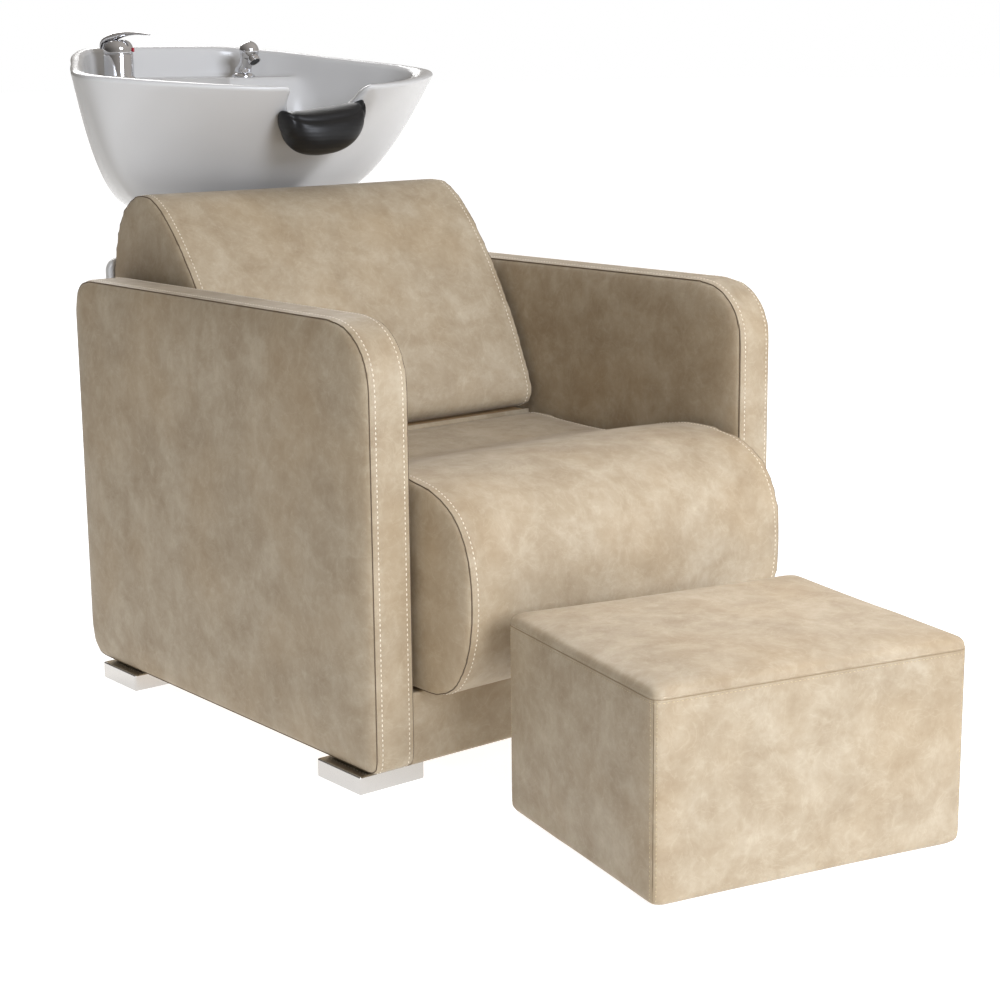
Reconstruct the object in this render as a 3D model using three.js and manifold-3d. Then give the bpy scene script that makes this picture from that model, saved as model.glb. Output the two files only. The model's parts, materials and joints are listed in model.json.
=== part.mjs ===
// Shampoo backwash unit: an upholstered armchair with a tilting ceramic basin behind it and a
// loose footstool in front. Millimetres, +Z up, front facing -Y.
// While the pieces are drawn, x = 0 is the chair's middle plane, y = 0 the front of the arms and
// z = 0 the floor. The last lines move the whole object to its own origin.
import * as THREE from "three";
import { mergeVertices } from "three/addons/utils/BufferGeometryUtils.js";
import Module from "manifold-3d";

const wasm = await Module();
wasm.setup();

// ---- driving dimensions ----------------------------------------------------------------------
const GAP = 0.3; // between pieces that touch
const FIT = 0.5; // round a pin, a shank or a pad that is pushed on
const CUT = 10; // how far a cutting tool runs past the piece it cuts

const CHAIR_WIDTH = 700;
const ARM_THICKNESS = 74;
const ARM_DEPTH = 738;
const ARM_TOP = 594;
const ARM_RADII = { topFront: 80, topBack: 36, bottomBack: 34, bottomFront: 12 };
const PLY = 18; // boards of the frame
const ARM_PLY = 24; // core board inside each arm
const ARM_PADDING = 34; // foam round the core board's edges
const FOOT = { x: 100, y: 95, z: 25 };
const FOOT_INSET = 30; // from the arm's front and back
const SIDE_CLEARANCE = 3; // between an arm and the cushions

const SEAT_BOTTOM = 121;
const SEAT_NOSE = -98; // y of the front of the seat's roll
const SEAT_RISE = { roll: 276, valley: 241, back: 247 }; // heights over its bottom
const APRON_SETBACK = 20;
const RAIL_HEIGHT = 40;

const BACK_FOOT = 446; // y of the lower front edge of the backrest
const BACK_PLANE = 757; // back face of the backrest
const GUSSET_SPREAD = 0.7; // share of the cushion's half width
const BACK_SHELF_TOP = 364;
const COVER_THICKNESS = 12;
const COVER_TOP = 614;
const COVER_BOTTOM = 40;
const COVER_RADIUS = 20;

const STOOL = { x: 420, y: 350, z: 249 };
const STOOL_CORNER = [-326, -472]; // its front left corner on the floor
const STOOL_TURN = -12.6; // degrees about Z
const GLIDE = { radius: 10, height: 6, inset: 34 };
const STOOL_PADDING = 14;
const STOOL_CROWN = 45; // foam over the lid
const STOOL_PLY = 15;

const RIM_FRONT = 860; // height of the basin's rim at its front
const RIM_SLOPE = 0.119; // rise of the rim towards the back
const RIM_START = 552; // y of the rim's front
const RIM_BACK = 1070;
const BASIN_HALF_WIDTH = 308;
const BASIN_BOTTOM = 672;
const FOOTPRINT_FRONT = 760; // y where the underside starts
const FOOTPRINT_BACK = 990;
const FOOTPRINT_SCALE = 0.4; // underside's width over the rim's
const WALL = 17; // ceramic wall
const FLOOR_THICKNESS = 22; // ceramic under the bowl
const DECK_TOP = 870;
const DECK_THICKNESS = 13;
const DECK_EDGE = [900, 948]; // y over which the bowl's back rises to the deck
const NOTCH = { halfWidth: 68, bottom: 816, radius: 30, reach: 70 };
const WAY_REACH = 30; // half the length of the opening under the deck
const DECK_ROOM = 45; // free space beside the taps, under the deck
const PAD = { overlap: 8, setback: 37, reach: 42, drop: 18, rise: 12, half: 30, crown: 4 };
const TAP_X = 115;
const TAP_Y = 985;

const PIVOT = { y: 885, z: 648 }; // the basin's tilt axis, along X
const PIN_RADIUS = 6;
const CRADLE = { x: 170, front: 800, back: 925, thickness: 5.5 };
const EAR = { radius: 14, thickness: 6, x: 44 };
const LUG = { radius: 12, x: 34 };
const PIN_OVERHANG = 8;
const POST = { size: 50, wall: 3, top: 590 };
const BASE_PLATE = { x: 200, front: 792, back: 935, z: 8 };
const BRACKET = { x: 80, bottom: 80, z: 50 };
const SHROUD = { halfWidth: 125, back: 945, wall: 4, bottom: 10, top: 632, radius: 55 };

const DRAIN_Y = 835;
const DRAIN_RADIUS = 22;
const WASTE = { flange: 32, lip: 3, tail: 19, bore: 16, length: 52 };
const NUT_HEIGHT = 9;
const TRAP = { radius: 20, top: 640, bottom: 575, wall: 2.5 };

const MIXER = { radius: 23.5, flange: 26, height: 42, shank: 16, shankLength: 48 };
const INLET = { radius: 5, length: 34, depth: 12, x: 7.5 };
const CAP_HEIGHT = 19;
const DOT = { radius: 3.5, thickness: 2, z: 3.5 };
const LEVER_WIDTH = 16;
const LEVER_TURN = -45; // degrees: the lever points at the middle of the bowl
const HOLDER = { flange: 19, shank: 14, lip: 7, length: 40, bore: 9.5 };
const SPRAY = { stem: 8, stemLength: 58, handle: 12, head: 16, lean: 30, reach: 40 };
const NOZZLE = { base: 9, mouth: 10, length: 12, turn: 125 }; // turned down from straight up
const STRAINER = { lip: 2, holes: 6, holeRadius: 2, ring: 8.5, spigot: 12 };

// ---- colours ---------------------------------------------------------------------------------
const finish = {
  leather: [0xbfae93, 0.55, 0],
  plywood: [0xc9a877, 0.8, 0],
  chrome: [0xc8c9cb, 0.12, 1],
  steel: [0x3a3b3d, 0.5, 0.6],
  abs: [0xd8d8d5, 0.4, 0],
  ceramic: [0xf1f1ee, 0.08, 0],
  rubber: [0x1d1d1d, 0.5, 0],
  plastic: [0x2a2a2a, 0.5, 0],
  red: [0xb3202c, 0.3, 0],
};

const object = new THREE.Group();

function addPiece(name, geometry, look, parent = object) {
  const [color, roughness, metalness] = finish[look];
  const material = new THREE.MeshStandardMaterial({ color, roughness, metalness });
  const mesh = new THREE.Mesh(geometry, material);
  mesh.name = name;
  parent.add(mesh);
  return mesh;
}

// ---- shapes that several pieces share --------------------------------------------------------
function toSolid(geometry) {
  let bare = geometry.clone();
  bare.deleteAttribute("normal");
  bare.deleteAttribute("uv");
  bare = mergeVertices(bare, 1e-3);
  const triVerts = Uint32Array.from(bare.index.array);
  const vertProperties = Float32Array.from(bare.attributes.position.array);
  return new wasm.Manifold(new wasm.Mesh({ numProp: 3, vertProperties, triVerts }));
}

function toGeometry(solid) {
  const mesh = solid.getMesh();
  const geometry = new THREE.BufferGeometry();
  geometry.setAttribute("position", new THREE.BufferAttribute(mesh.vertProperties, 3));
  geometry.setIndex(new THREE.BufferAttribute(mesh.triVerts, 1));
  geometry.computeVertexNormals();
  return geometry;
}

// base with the joined geometries added and the cut ones taken away
function carve(base, { join = [], cut = [] }) {
  let solid = toSolid(base);
  for (const piece of join) solid = solid.add(toSolid(piece));
  for (const tool of cut) solid = solid.subtract(toSolid(tool));
  return toGeometry(solid);
}

// box between two corners
function block(low, high) {
  const size = high.map((value, i) => value - low[i]);
  const middle = high.map((value, i) => (value + low[i]) / 2);
  return new THREE.BoxGeometry(...size).translate(...middle);
}

// cylinder standing on z = bottom
function upright(radius, bottom, top, x, y, sides = 28, topRadius = radius) {
  const rod = new THREE.CylinderGeometry(topRadius, radius, top - bottom, sides);
  return rod.rotateX(Math.PI / 2).translate(x, y, (top + bottom) / 2);
}

// cylinder along X
function crosswise(radius, left, right, y, z, sides = 24) {
  const rod = new THREE.CylinderGeometry(radius, radius, right - left, sides);
  return rod.rotateZ(Math.PI / 2).translate((left + right) / 2, y, z);
}

// an outline drawn in (y, z), extruded along X from left to right
function slab(shape, left, right, curveSegments = 10) {
  const options = { depth: right - left, bevelEnabled: false, curveSegments };
  const solid = new THREE.ExtrudeGeometry(shape, options);
  return solid.applyMatrix4(
    new THREE.Matrix4().set(0, 0, 1, left, 1, 0, 0, 0, 0, 1, 0, 0, 0, 0, 0, 1),
  );
}

// a plan outline in (x, y), extruded upwards
function plate(shape, bottom, top, curveSegments = 10) {
  const options = { depth: top - bottom, bevelEnabled: false, curveSegments };
  return new THREE.ExtrudeGeometry(shape, options).translate(0, 0, bottom);
}

// an outline in (x, z), extruded along Y from front to back
function upstand(shape, front, back, curveSegments = 10) {
  return plate(shape, 0, back - front, curveSegments)
    .rotateX(Math.PI / 2)
    .translate(0, back, 0);
}

// rectangle with its own radius at each corner, counterclockwise from the low left one
function roundedRectangle(x0, y0, x1, y1, [r00, r10, r11, r01]) {
  const shape = new THREE.Shape();
  shape.moveTo(x0 + r00, y0);
  shape.lineTo(x1 - r10, y0);
  shape.absarc(x1 - r10, y0 + r10, r10, -Math.PI / 2, 0, false);
  shape.lineTo(x1, y1 - r11);
  shape.absarc(x1 - r11, y1 - r11, r11, 0, Math.PI / 2, false);
  shape.lineTo(x0 + r01, y1);
  shape.absarc(x0 + r01, y1 - r01, r01, Math.PI / 2, Math.PI, false);
  shape.lineTo(x0, y0 + r00);
  shape.absarc(x0 + r00, y0 + r00, r00, Math.PI, 1.5 * Math.PI, false);
  return shape;
}

// closed skin over rings of equal length, ordered from the bottom up, with a point at each end
function skin(rings, startPoint, endPoint) {
  const count = rings[0].length;
  const points = [startPoint, ...rings.flat(), endPoint];
  const last = points.length - 1;
  const index = [];
  const at = (ring, i) => 1 + ring * count + (i % count);
  for (let i = 0; i < count; i++) {
    index.push(0, at(0, i + 1), at(0, i));
    index.push(last, at(rings.length - 1, i), at(rings.length - 1, i + 1));
    for (let ring = 0; ring < rings.length - 1; ring++) {
      index.push(at(ring, i), at(ring, i + 1), at(ring + 1, i + 1));
      index.push(at(ring, i), at(ring + 1, i + 1), at(ring + 1, i));
    }
  }
  const geometry = new THREE.BufferGeometry();
  geometry.setAttribute("position", new THREE.Float32BufferAttribute(points.flat(), 3));
  geometry.setIndex(index);
  geometry.computeVertexNormals();
  return geometry;
}

// ---- arms and feet ---------------------------------------------------------------------------
const HALF_WIDTH = CHAIR_WIDTH / 2;
const ARM_INNER = HALF_WIDTH - ARM_THICKNESS;
const ARM_MIDDLE = HALF_WIDTH - ARM_THICKNESS / 2;
const CUSHION_HALF = ARM_INNER - SIDE_CLEARANCE;

// the core board's edge, or with clearance the slot that it stands in
function armBoard(side, clearance) {
  const half = ARM_PLY / 2 + clearance;
  const low = clearance ? FOOT.z - CUT : FOOT.z + GAP;
  const front = ARM_PADDING - clearance;
  const back = ARM_DEPTH - ARM_PADDING + clearance;
  const shape = roundedRectangle(front, low, back, ARM_TOP - ARM_PADDING + clearance, [
    1, 1, ARM_RADII.topBack - ARM_PADDING / 2, ARM_RADII.topFront - ARM_PADDING,
  ]);
  return slab(shape, side * ARM_MIDDLE - half, side * ARM_MIDDLE + half, 5);
}

function armCover(side) {
  const { topFront, topBack, bottomBack, bottomFront } = ARM_RADII;
  const radii = [bottomFront, bottomBack, topBack, topFront];
  const outline = roundedRectangle(0, FOOT.z, ARM_DEPTH, ARM_TOP, radii);
  const half = ARM_THICKNESS / 2;
  const slabGeometry = slab(outline, side * ARM_MIDDLE - half, side * ARM_MIDDLE + half, 8);
  return carve(slabGeometry, { cut: [armBoard(side, GAP)] });
}

function foot(side, front) {
  const inner = Math.min(side * (HALF_WIDTH - FOOT.x), side * HALF_WIDTH);
  const y = front ? FOOT_INSET : ARM_DEPTH - FOOT_INSET - ARM_RADII.bottomBack / 2 - FOOT.y;
  return block([inner, y, 0], [inner + FOOT.x, y + FOOT.y, FOOT.z - GAP]);
}

for (const [side, label] of [[-1, "left"], [1, "right"]]) {
  addPiece(`arm_cover_${label}`, armCover(side), "leather");
  addPiece(`arm_board_${label}`, armBoard(side, 0), "plywood");
  addPiece(`foot_front_${label}`, foot(side, true), "chrome");
  addPiece(`foot_rear_${label}`, foot(side, false), "chrome");
}

// ---- seat ------------------------------------------------------------------------------------
// side outline of the seat: a big front roll, a soft valley, then level to the backrest
function seatOutline() {
  const bottom = SEAT_BOTTOM;
  const back = BACK_FOOT - 5;
  const [roll, valley, level] = [SEAT_RISE.roll, SEAT_RISE.valley, SEAT_RISE.back]
    .map((rise) => bottom + rise);
  const shape = new THREE.Shape();
  shape.moveTo(back, bottom);
  shape.lineTo(back, level - 13);
  shape.quadraticCurveTo(back, level, back - 13, level);
  shape.bezierCurveTo(345, level - 2, 300, valley, 262, valley);
  shape.bezierCurveTo(200, valley, 140, roll, 62, roll);
  shape.bezierCurveTo(-35, roll, SEAT_NOSE, roll - 26, SEAT_NOSE, bottom + 132);
  shape.bezierCurveTo(SEAT_NOSE, bottom + 66, -70, bottom + 1, -18, bottom);
  return shape;
}

addPiece("seat_cushion", slab(seatOutline(), -CUSHION_HALF, CUSHION_HALF, 9), "leather");

const DECK_BOTTOM = SEAT_BOTTOM - GAP - PLY;
const DECK_BACK = BACK_PLANE - PLY - 2 * GAP;
const seatDeck = block(
  [-CUSHION_HALF, APRON_SETBACK + PLY + GAP, DECK_BOTTOM],
  [CUSHION_HALF, DECK_BACK, SEAT_BOTTOM - GAP],
);
addPiece("seat_board", seatDeck, "plywood");

const apronOutline = roundedRectangle(
  APRON_SETBACK, FOOT.z, APRON_SETBACK + PLY, SEAT_BOTTOM - GAP, [6, 2, 2, 2],
);
addPiece("front_apron", slab(apronOutline, -ARM_INNER + GAP, ARM_INNER - GAP, 3), "leather");

for (const [side, label] of [[-1, "left"], [1, "right"]]) {
  const outer = side * (ARM_INNER - GAP);
  const inner = side * (ARM_INNER - GAP - ARM_PLY);
  const rail = block(
    [Math.min(outer, inner), APRON_SETBACK + PLY + GAP, DECK_BOTTOM - GAP - RAIL_HEIGHT],
    [Math.max(outer, inner), DECK_BACK, DECK_BOTTOM - GAP],
  );
  addPiece(`base_rail_${label}`, rail, "plywood");
}

// ---- backrest --------------------------------------------------------------------------------
// side outline of the backrest: a wedge with a full, round head that leans back
function backrestOutline() {
  const low = BACK_SHELF_TOP + 2;
  const shape = new THREE.Shape();
  shape.moveTo(BACK_FOOT - 2, low + 2);
  shape.quadraticCurveTo(BACK_FOOT - 26, low + 8, BACK_FOOT - 24, low + 32);
  shape.bezierCurveTo(BACK_FOOT - 4, low + 86, 470, low + 150, 520, low + 226);
  shape.bezierCurveTo(555, low + 276, 592, low + 322, 630, low + 342);
  shape.bezierCurveTo(656, low + 356, 700, low + 348, 722, low + 320);
  shape.bezierCurveTo(740, low + 300, 750, low + 270, BACK_PLANE, low + 224);
  shape.lineTo(BACK_PLANE, low);
  shape.lineTo(BACK_FOOT + 8, low);
  return shape;
}

addPiece(
  "backrest_cushion", slab(backrestOutline(), -CUSHION_HALF, CUSHION_HALF, 7), "leather",
);
const SHELF_BOTTOM = BACK_SHELF_TOP - PLY;
const shelf = block(
  [-CUSHION_HALF, BACK_FOOT, SHELF_BOTTOM],
  [CUSHION_HALF, DECK_BACK, BACK_SHELF_TOP],
);
addPiece("backrest_shelf", shelf, "plywood");

for (const [side, label] of [[-1, "left"], [1, "right"]]) {
  const middle = side * CUSHION_HALF * GUSSET_SPREAD;
  const gusset = block(
    [middle - PLY / 2, BACK_FOOT, SEAT_BOTTOM],
    [middle + PLY / 2, DECK_BACK, SHELF_BOTTOM - GAP],
  );
  addPiece(`backrest_gusset_${label}`, gusset, "plywood");
}

const rearRail = block(
  [-CUSHION_HALF, BACK_PLANE - PLY - GAP, DECK_BOTTOM - GAP - RAIL_HEIGHT],
  [CUSHION_HALF, BACK_PLANE - GAP, BACK_SHELF_TOP],
);
addPiece("rear_board", rearRail, "plywood");

const coverRadii = [COVER_RADIUS, COVER_RADIUS, COVER_RADIUS, COVER_RADIUS];
const coverOutline = roundedRectangle(
  -CUSHION_HALF, COVER_BOTTOM, CUSHION_HALF, COVER_TOP, coverRadii,
);
const COVER_BACK = BACK_PLANE + GAP + COVER_THICKNESS;
const bracketHalf = BRACKET.x / 2;
const bracketTop = BRACKET.bottom + BRACKET.z;
const bracketSlot = block(
  [-bracketHalf - GAP, BACK_PLANE, COVER_BOTTOM - CUT],
  [bracketHalf + GAP, COVER_BACK + CUT, bracketTop + GAP],
);
const coverPanel = upstand(coverOutline, BACK_PLANE + GAP, COVER_BACK, 5);
addPiece("rear_cover", carve(coverPanel, { cut: [bracketSlot] }), "abs");

// ---- column that carries the basin -----------------------------------------------------------
const postHalf = POST.size / 2;
const basePlate = block(
  [-BASE_PLATE.x / 2, BASE_PLATE.front, 0],
  [BASE_PLATE.x / 2, BASE_PLATE.back, BASE_PLATE.z],
);
addPiece("column_base_plate", basePlate, "steel");

function postGeometry() {
  const bottom = BASE_PLATE.z + GAP;
  const hollow = postHalf - POST.wall;
  const outer = block(
    [-postHalf, PIVOT.y - postHalf, bottom], [postHalf, PIVOT.y + postHalf, POST.top],
  );
  const inner = block(
    [-hollow, PIVOT.y - hollow, bottom - CUT], [hollow, PIVOT.y + hollow, POST.top + CUT],
  );
  return carve(outer, { cut: [inner] });
}
addPiece("column_post", postGeometry(), "steel");

const bracket = block(
  [-bracketHalf, BACK_PLANE, BRACKET.bottom],
  [bracketHalf, PIVOT.y - postHalf - GAP, bracketTop],
);
addPiece("column_bracket", bracket, "steel");

// U-shaped housing, open towards the chair, at the top and at the floor
function shroudGeometry() {
  const { halfWidth, back, wall, bottom, top, radius } = SHROUD;
  const front = COVER_BACK + GAP;
  const outer = roundedRectangle(-halfWidth, front, halfWidth, back, [1, 1, radius, radius]);
  const inside = halfWidth - wall;
  const innerRadius = radius - wall;
  const hollow = roundedRectangle(
    -inside, front - CUT, inside, back - wall, [1, 1, innerRadius, innerRadius],
  );
  return carve(plate(outer, bottom, top, 6), {
    cut: [plate(hollow, bottom - CUT, top + CUT, 6)],
  });
}
addPiece("column_shroud", shroudGeometry(), "abs");

// yoke on the post: a plate with two ears for the pin
function yokeGeometry() {
  const floor = POST.top + GAP;
  const reach = EAR.x + EAR.thickness / 2;
  const base = block(
    [-reach, PIVOT.y - postHalf, floor], [reach, PIVOT.y + postHalf, floor + EAR.thickness],
  );
  const join = [];
  for (const side of [-1, 1]) {
    const left = side * EAR.x - EAR.thickness / 2;
    const right = side * EAR.x + EAR.thickness / 2;
    const half = EAR.radius;
    join.push(block([left, PIVOT.y - half, floor + 1], [right, PIVOT.y + half, PIVOT.z]));
    join.push(crosswise(EAR.radius, left, right, PIVOT.y, PIVOT.z));
  }
  const hole = crosswise(PIN_RADIUS + FIT, -reach - CUT, reach + CUT, PIVOT.y, PIVOT.z);
  return carve(base, { join, cut: [hole] });
}
addPiece("tilt_yoke", yokeGeometry(), "steel");

const pinReach = EAR.x + EAR.thickness / 2 + PIN_OVERHANG;
addPiece(
  "tilt_pin", crosswise(PIN_RADIUS, -pinReach, pinReach, PIVOT.y, PIVOT.z), "chrome",
);

// ---- basin -----------------------------------------------------------------------------------
// half of the rim in plan, from the front over the shoulder to the back, as shares of its size
const RIM_PLAN = [
  [0, 0], [0.23, 0.006], [0.46, 0.05], [0.69, 0.135], [0.89, 0.24], [1, 0.33],
  [0.995, 0.42], [0.905, 0.54], [0.775, 0.685], [0.635, 0.84], [0.47, 0.955], [0.24, 0.993],
  [0, 1],
];
const BASIN_SIDES = 56;

function rimCurve() {
  const depth = RIM_BACK - RIM_START;
  const spot = ([u, v], side) =>
    new THREE.Vector3(side * u * BASIN_HALF_WIDTH, RIM_START + v * depth, 0);
  const right = RIM_PLAN.map((share) => spot(share, 1));
  const left = RIM_PLAN.slice(1, -1).reverse().map((share) => spot(share, -1));
  return new THREE.CatmullRomCurve3([...right, ...left], true, "centripetal");
}

const rimPoints = rimCurve().getSpacedPoints(BASIN_SIDES).slice(0, BASIN_SIDES);
const rimHeight = (y) => RIM_FRONT + RIM_SLOPE * (y - RIM_START);

// how full the wall is below a rim point: straight at the front, full at the sides and fuller
// still at the back
function wallPower(y) {
  const side = THREE.MathUtils.smoothstep(y, RIM_START, RIM_START + 200);
  const back = THREE.MathUtils.smoothstep(y, RIM_START + 188, RIM_START + 308);
  return 1 - 0.52 * side - 0.18 * back;
}

// point of the basin's wall under rim point i, at height share s, moved inwards by inset
function wallPoint(i, s, inset, bottom) {
  const rim = rimPoints[i];
  const middle = (FOOTPRINT_FRONT + FOOTPRINT_BACK) / 2;
  const along = (rim.y - RIM_START) / (RIM_BACK - RIM_START);
  const underX = rim.x * FOOTPRINT_SCALE;
  const underY = FOOTPRINT_FRONT + along * (FOOTPRINT_BACK - FOOTPRINT_FRONT);
  const spread = s ** wallPower(rim.y);
  const x = underX + spread * (rim.x - underX);
  const y = underY + spread * (rim.y - underY);
  const away = Math.hypot(x, y - middle);
  const pull = Math.max(0, 1 - inset / away);
  const z = bottom + s * (rimHeight(rim.y) - bottom);
  return [x * pull, middle + (y - middle) * pull, z];
}

// rings of the wall from its foot to its rim, close together where the wall turns
function wallRings(inset, bottom, ringCount, shape = (point) => point) {
  const rings = [];
  for (let k = 0; k <= ringCount; k++) {
    const s = (k / ringCount) ** 2.4;
    rings.push(rimPoints.map((_, i) => shape(wallPoint(i, s, inset, bottom))));
  }
  return rings;
}

const BOWL_FLOOR = BASIN_BOTTOM + FLOOR_THICKNESS;
const BOWL_FALL = 5; // fall of the bowl's floor towards the waste

const middleOf = (ring) => {
  const sum = ring.reduce((total, p) => [total[0] + p[0], total[1] + p[1], total[2] + p[2]]);
  return sum.map((value) => value / ring.length);
};

const lift = (ring, height) => ring.map(([x, y, z]) => [x, y, z + height]);

// the basin's outside as a solid that is closed at the rim
function basinOutside(grow) {
  const rings = wallRings(-grow, BASIN_BOTTOM - grow, 9);
  if (grow) rings.push(lift(rings[rings.length - 1], grow));
  return skin(rings, middleOf(rings[0]), middleOf(rings[rings.length - 1]));
}

// the hollow of the bowl, with the level deck behind it
function bowlHollow(shrink) {
  const deck = ([x, y, z]) => {
    const rise = THREE.MathUtils.smoothstep(y, DECK_EDGE[0], DECK_EDGE[1]);
    return [x, y, z < DECK_TOP + shrink ? z + rise * (DECK_TOP + shrink - z) : z];
  };
  const bottom = BOWL_FLOOR + shrink;
  const rings = wallRings(WALL + shrink, bottom + BOWL_FALL, 10, deck);
  const seat = rings[0].map(([x, y]) => {
    const share = (WASTE.flange + 6) / Math.hypot(x, y - DRAIN_Y);
    return [x * share, DRAIN_Y + (y - DRAIN_Y) * share, bottom];
  });
  const top = lift(rings[rings.length - 1], CUT);
  return skin([seat, ...rings, top], middleOf(seat), middleOf(top));
}

// neck notch in the front wall, as a block with round lower corners
function notchTool(shrink) {
  const half = NOTCH.halfWidth - shrink;
  const radii = [NOTCH.radius, NOTCH.radius, 1, 1];
  const top = RIM_FRONT + 60;
  const outline = roundedRectangle(-half, NOTCH.bottom + shrink, half, top, radii);
  return upstand(outline, RIM_START - 30, RIM_START + NOTCH.reach, 6);
}

// open space under the deck, where the taps are fastened from below
function underDeck() {
  const inner = toSolid(basinShell(DECK_THICKNESS));
  const room = block(
    [-TAP_X - DECK_ROOM, DECK_EDGE[1] + 4, BASIN_BOTTOM - CUT],
    [TAP_X + DECK_ROOM, RIM_BACK, DECK_TOP - DECK_THICKNESS],
  );
  const way = upright(1, BASIN_BOTTOM - CUT, DECK_TOP - DECK_THICKNESS - 30, 0, 0, 32)
    .scale(TAP_X, WAY_REACH, 1)
    .translate(0, DECK_EDGE[1] + 4 + WAY_REACH * 0.6, 0);
  const open = toSolid(room).intersect(toSolid(way));
  return toGeometry(toSolid(room).intersect(inner).add(open));
}

function basinShell(inset) {
  const rings = wallRings(inset, BASIN_BOTTOM + inset, 9);
  return skin(rings, middleOf(rings[0]), middleOf(rings[rings.length - 1]));
}

function basinGeometry() {
  const drainHole = upright(
    DRAIN_RADIUS, BASIN_BOTTOM - CUT, BASIN_BOTTOM + 60, 0, DRAIN_Y,
  );
  const low = DECK_TOP - DECK_THICKNESS - CUT;
  const mixerHole = upright(MIXER.shank + FIT, low, DECK_TOP + CUT, -TAP_X, TAP_Y, 20);
  const sprayHole = upright(HOLDER.shank + FIT, low, DECK_TOP + CUT, TAP_X, TAP_Y, 20);
  const notch = notchTool(0);
  return carve(basinOutside(0), {
    cut: [bowlHollow(0), notch, underDeck(), drainHole, mixerHole, sprayHole],
  });
}
addPiece("basin", basinGeometry(), "ceramic");

// neck rest: a soft saddle that is pushed over the notch
function neckRest() {
  const length = 2 * (NOTCH.halfWidth + PAD.overlap);
  const stations = 14;
  const around = 18;
  const rings = [];
  for (let k = 1; k < stations; k++) {
    const share = (2 * k) / stations - 1;
    const full = (1 - Math.abs(share) ** 3.2) ** 0.5;
    const x = (share * length) / 2;
    const rise = PAD.rise * share * share;
    const half = (PAD.half + PAD.crown * full) * full;
    const ring = [];
    for (let j = 0; j < around; j++) {
      const angle = (2 * Math.PI * j) / around;
      const y = RIM_START + PAD.setback + PAD.reach * full * Math.cos(angle);
      const z = NOTCH.bottom - PAD.drop + rise + half * Math.sin(angle);
      ring.push([x, y, z]);
    }
    rings.push(ring);
  }
  const first = middleOf(rings[0]);
  const last = middleOf(rings[rings.length - 1]);
  const end = length / 2;
  const bean = skin(rings, [-end, first[1], first[2]], [end, last[1], last[2]]);
  const wall = carve(basinOutside(FIT), { cut: [bowlHollow(FIT), notchTool(FIT)] });
  return toGeometry(toSolid(bean).subtract(toSolid(wall)));
}
addPiece("neck_rest", neckRest(), "rubber");

// steel cradle under the basin: a plate with two lugs that turn on the pin
function cradleGeometry() {
  const top = BASIN_BOTTOM - GAP;
  const low = top - CRADLE.thickness;
  const half = CRADLE.x / 2;
  const plateGeometry = block([-half, CRADLE.front, low], [half, CRADLE.back, top]);
  const join = [];
  for (const side of [-1, 1]) {
    const left = side * LUG.x - EAR.thickness / 2;
    const right = side * LUG.x + EAR.thickness / 2;
    const half = LUG.radius;
    join.push(block([left, PIVOT.y - half, PIVOT.z], [right, PIVOT.y + half, low + 1]));
    join.push(crosswise(half, left, right, PIVOT.y, PIVOT.z));
  }
  const reach = LUG.x + EAR.thickness + CUT;
  const pinHole = crosswise(PIN_RADIUS + FIT, -reach, reach, PIVOT.y, PIVOT.z);
  const wasteHole = upright(DRAIN_RADIUS + 8, low - CUT, top + CUT, 0, DRAIN_Y);
  return carve(plateGeometry, { join, cut: [pinHole, wasteHole] });
}
addPiece("basin_cradle", cradleGeometry(), "steel");

// ---- waste -----------------------------------------------------------------------------------
// a profile of [radius, height] pairs that closes on itself, turned about a vertical axis
function turned(profile, x, y, sides = 28) {
  const points = [...profile, profile[0]].map(([r, z]) => new THREE.Vector2(r, z));
  return new THREE.LatheGeometry(points, sides).rotateX(Math.PI / 2).translate(x, y, 0);
}

const wasteProfile = [
  [WASTE.bore, BOWL_FLOOR - WASTE.length],
  [WASTE.tail, BOWL_FLOOR - WASTE.length],
  [WASTE.tail, BOWL_FLOOR + GAP],
  [WASTE.flange, BOWL_FLOOR + GAP],
  [WASTE.flange, BOWL_FLOOR + GAP + WASTE.lip - 1],
  [WASTE.bore + 4, BOWL_FLOOR + WASTE.lip],
  [WASTE.bore, BOWL_FLOOR + WASTE.lip - 2],
];
addPiece("waste_flange", turned(wasteProfile, 0, DRAIN_Y), "chrome");

// ring nut with flats, threaded on something of the given radius
function ringNut(outer, inner, bottom, top, x, y) {
  const body = upright(outer, bottom, top, x, y, 8);
  return carve(body, { cut: [upright(inner, bottom - CUT, top + CUT, x, y, 24)] });
}
const wasteNutTop = BASIN_BOTTOM - GAP;
addPiece(
  "waste_nut",
  ringNut(WASTE.tail + 8, WASTE.tail + GAP, wasteNutTop - NUT_HEIGHT, wasteNutTop, 0, DRAIN_Y),
  "plastic",
);

const trapProfile = [
  [5, TRAP.bottom],
  [TRAP.radius - 6, TRAP.bottom],
  [TRAP.radius + TRAP.wall, TRAP.bottom + 8],
  [TRAP.radius + TRAP.wall, TRAP.top],
  [WASTE.tail + GAP, TRAP.top],
  [WASTE.tail + GAP, TRAP.bottom + 10],
  [TRAP.radius - 6, TRAP.bottom + TRAP.wall],
  [5, TRAP.bottom + TRAP.wall],
];

// bottle under the waste, with its outlet stub towards the floor pipe
function trapGeometry() {
  const z = (TRAP.top + TRAP.bottom) / 2 - 4;
  const reach = TRAP.radius + 26;
  const stub = crosswise(10, TRAP.radius - 1, reach, DRAIN_Y, z);
  const bore = crosswise(8, TRAP.radius - 6, reach + CUT, DRAIN_Y, z);
  return carve(turned(trapProfile, 0, DRAIN_Y), { join: [stub], cut: [bore] });
}
addPiece("waste_trap", trapGeometry(), "abs");

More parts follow.
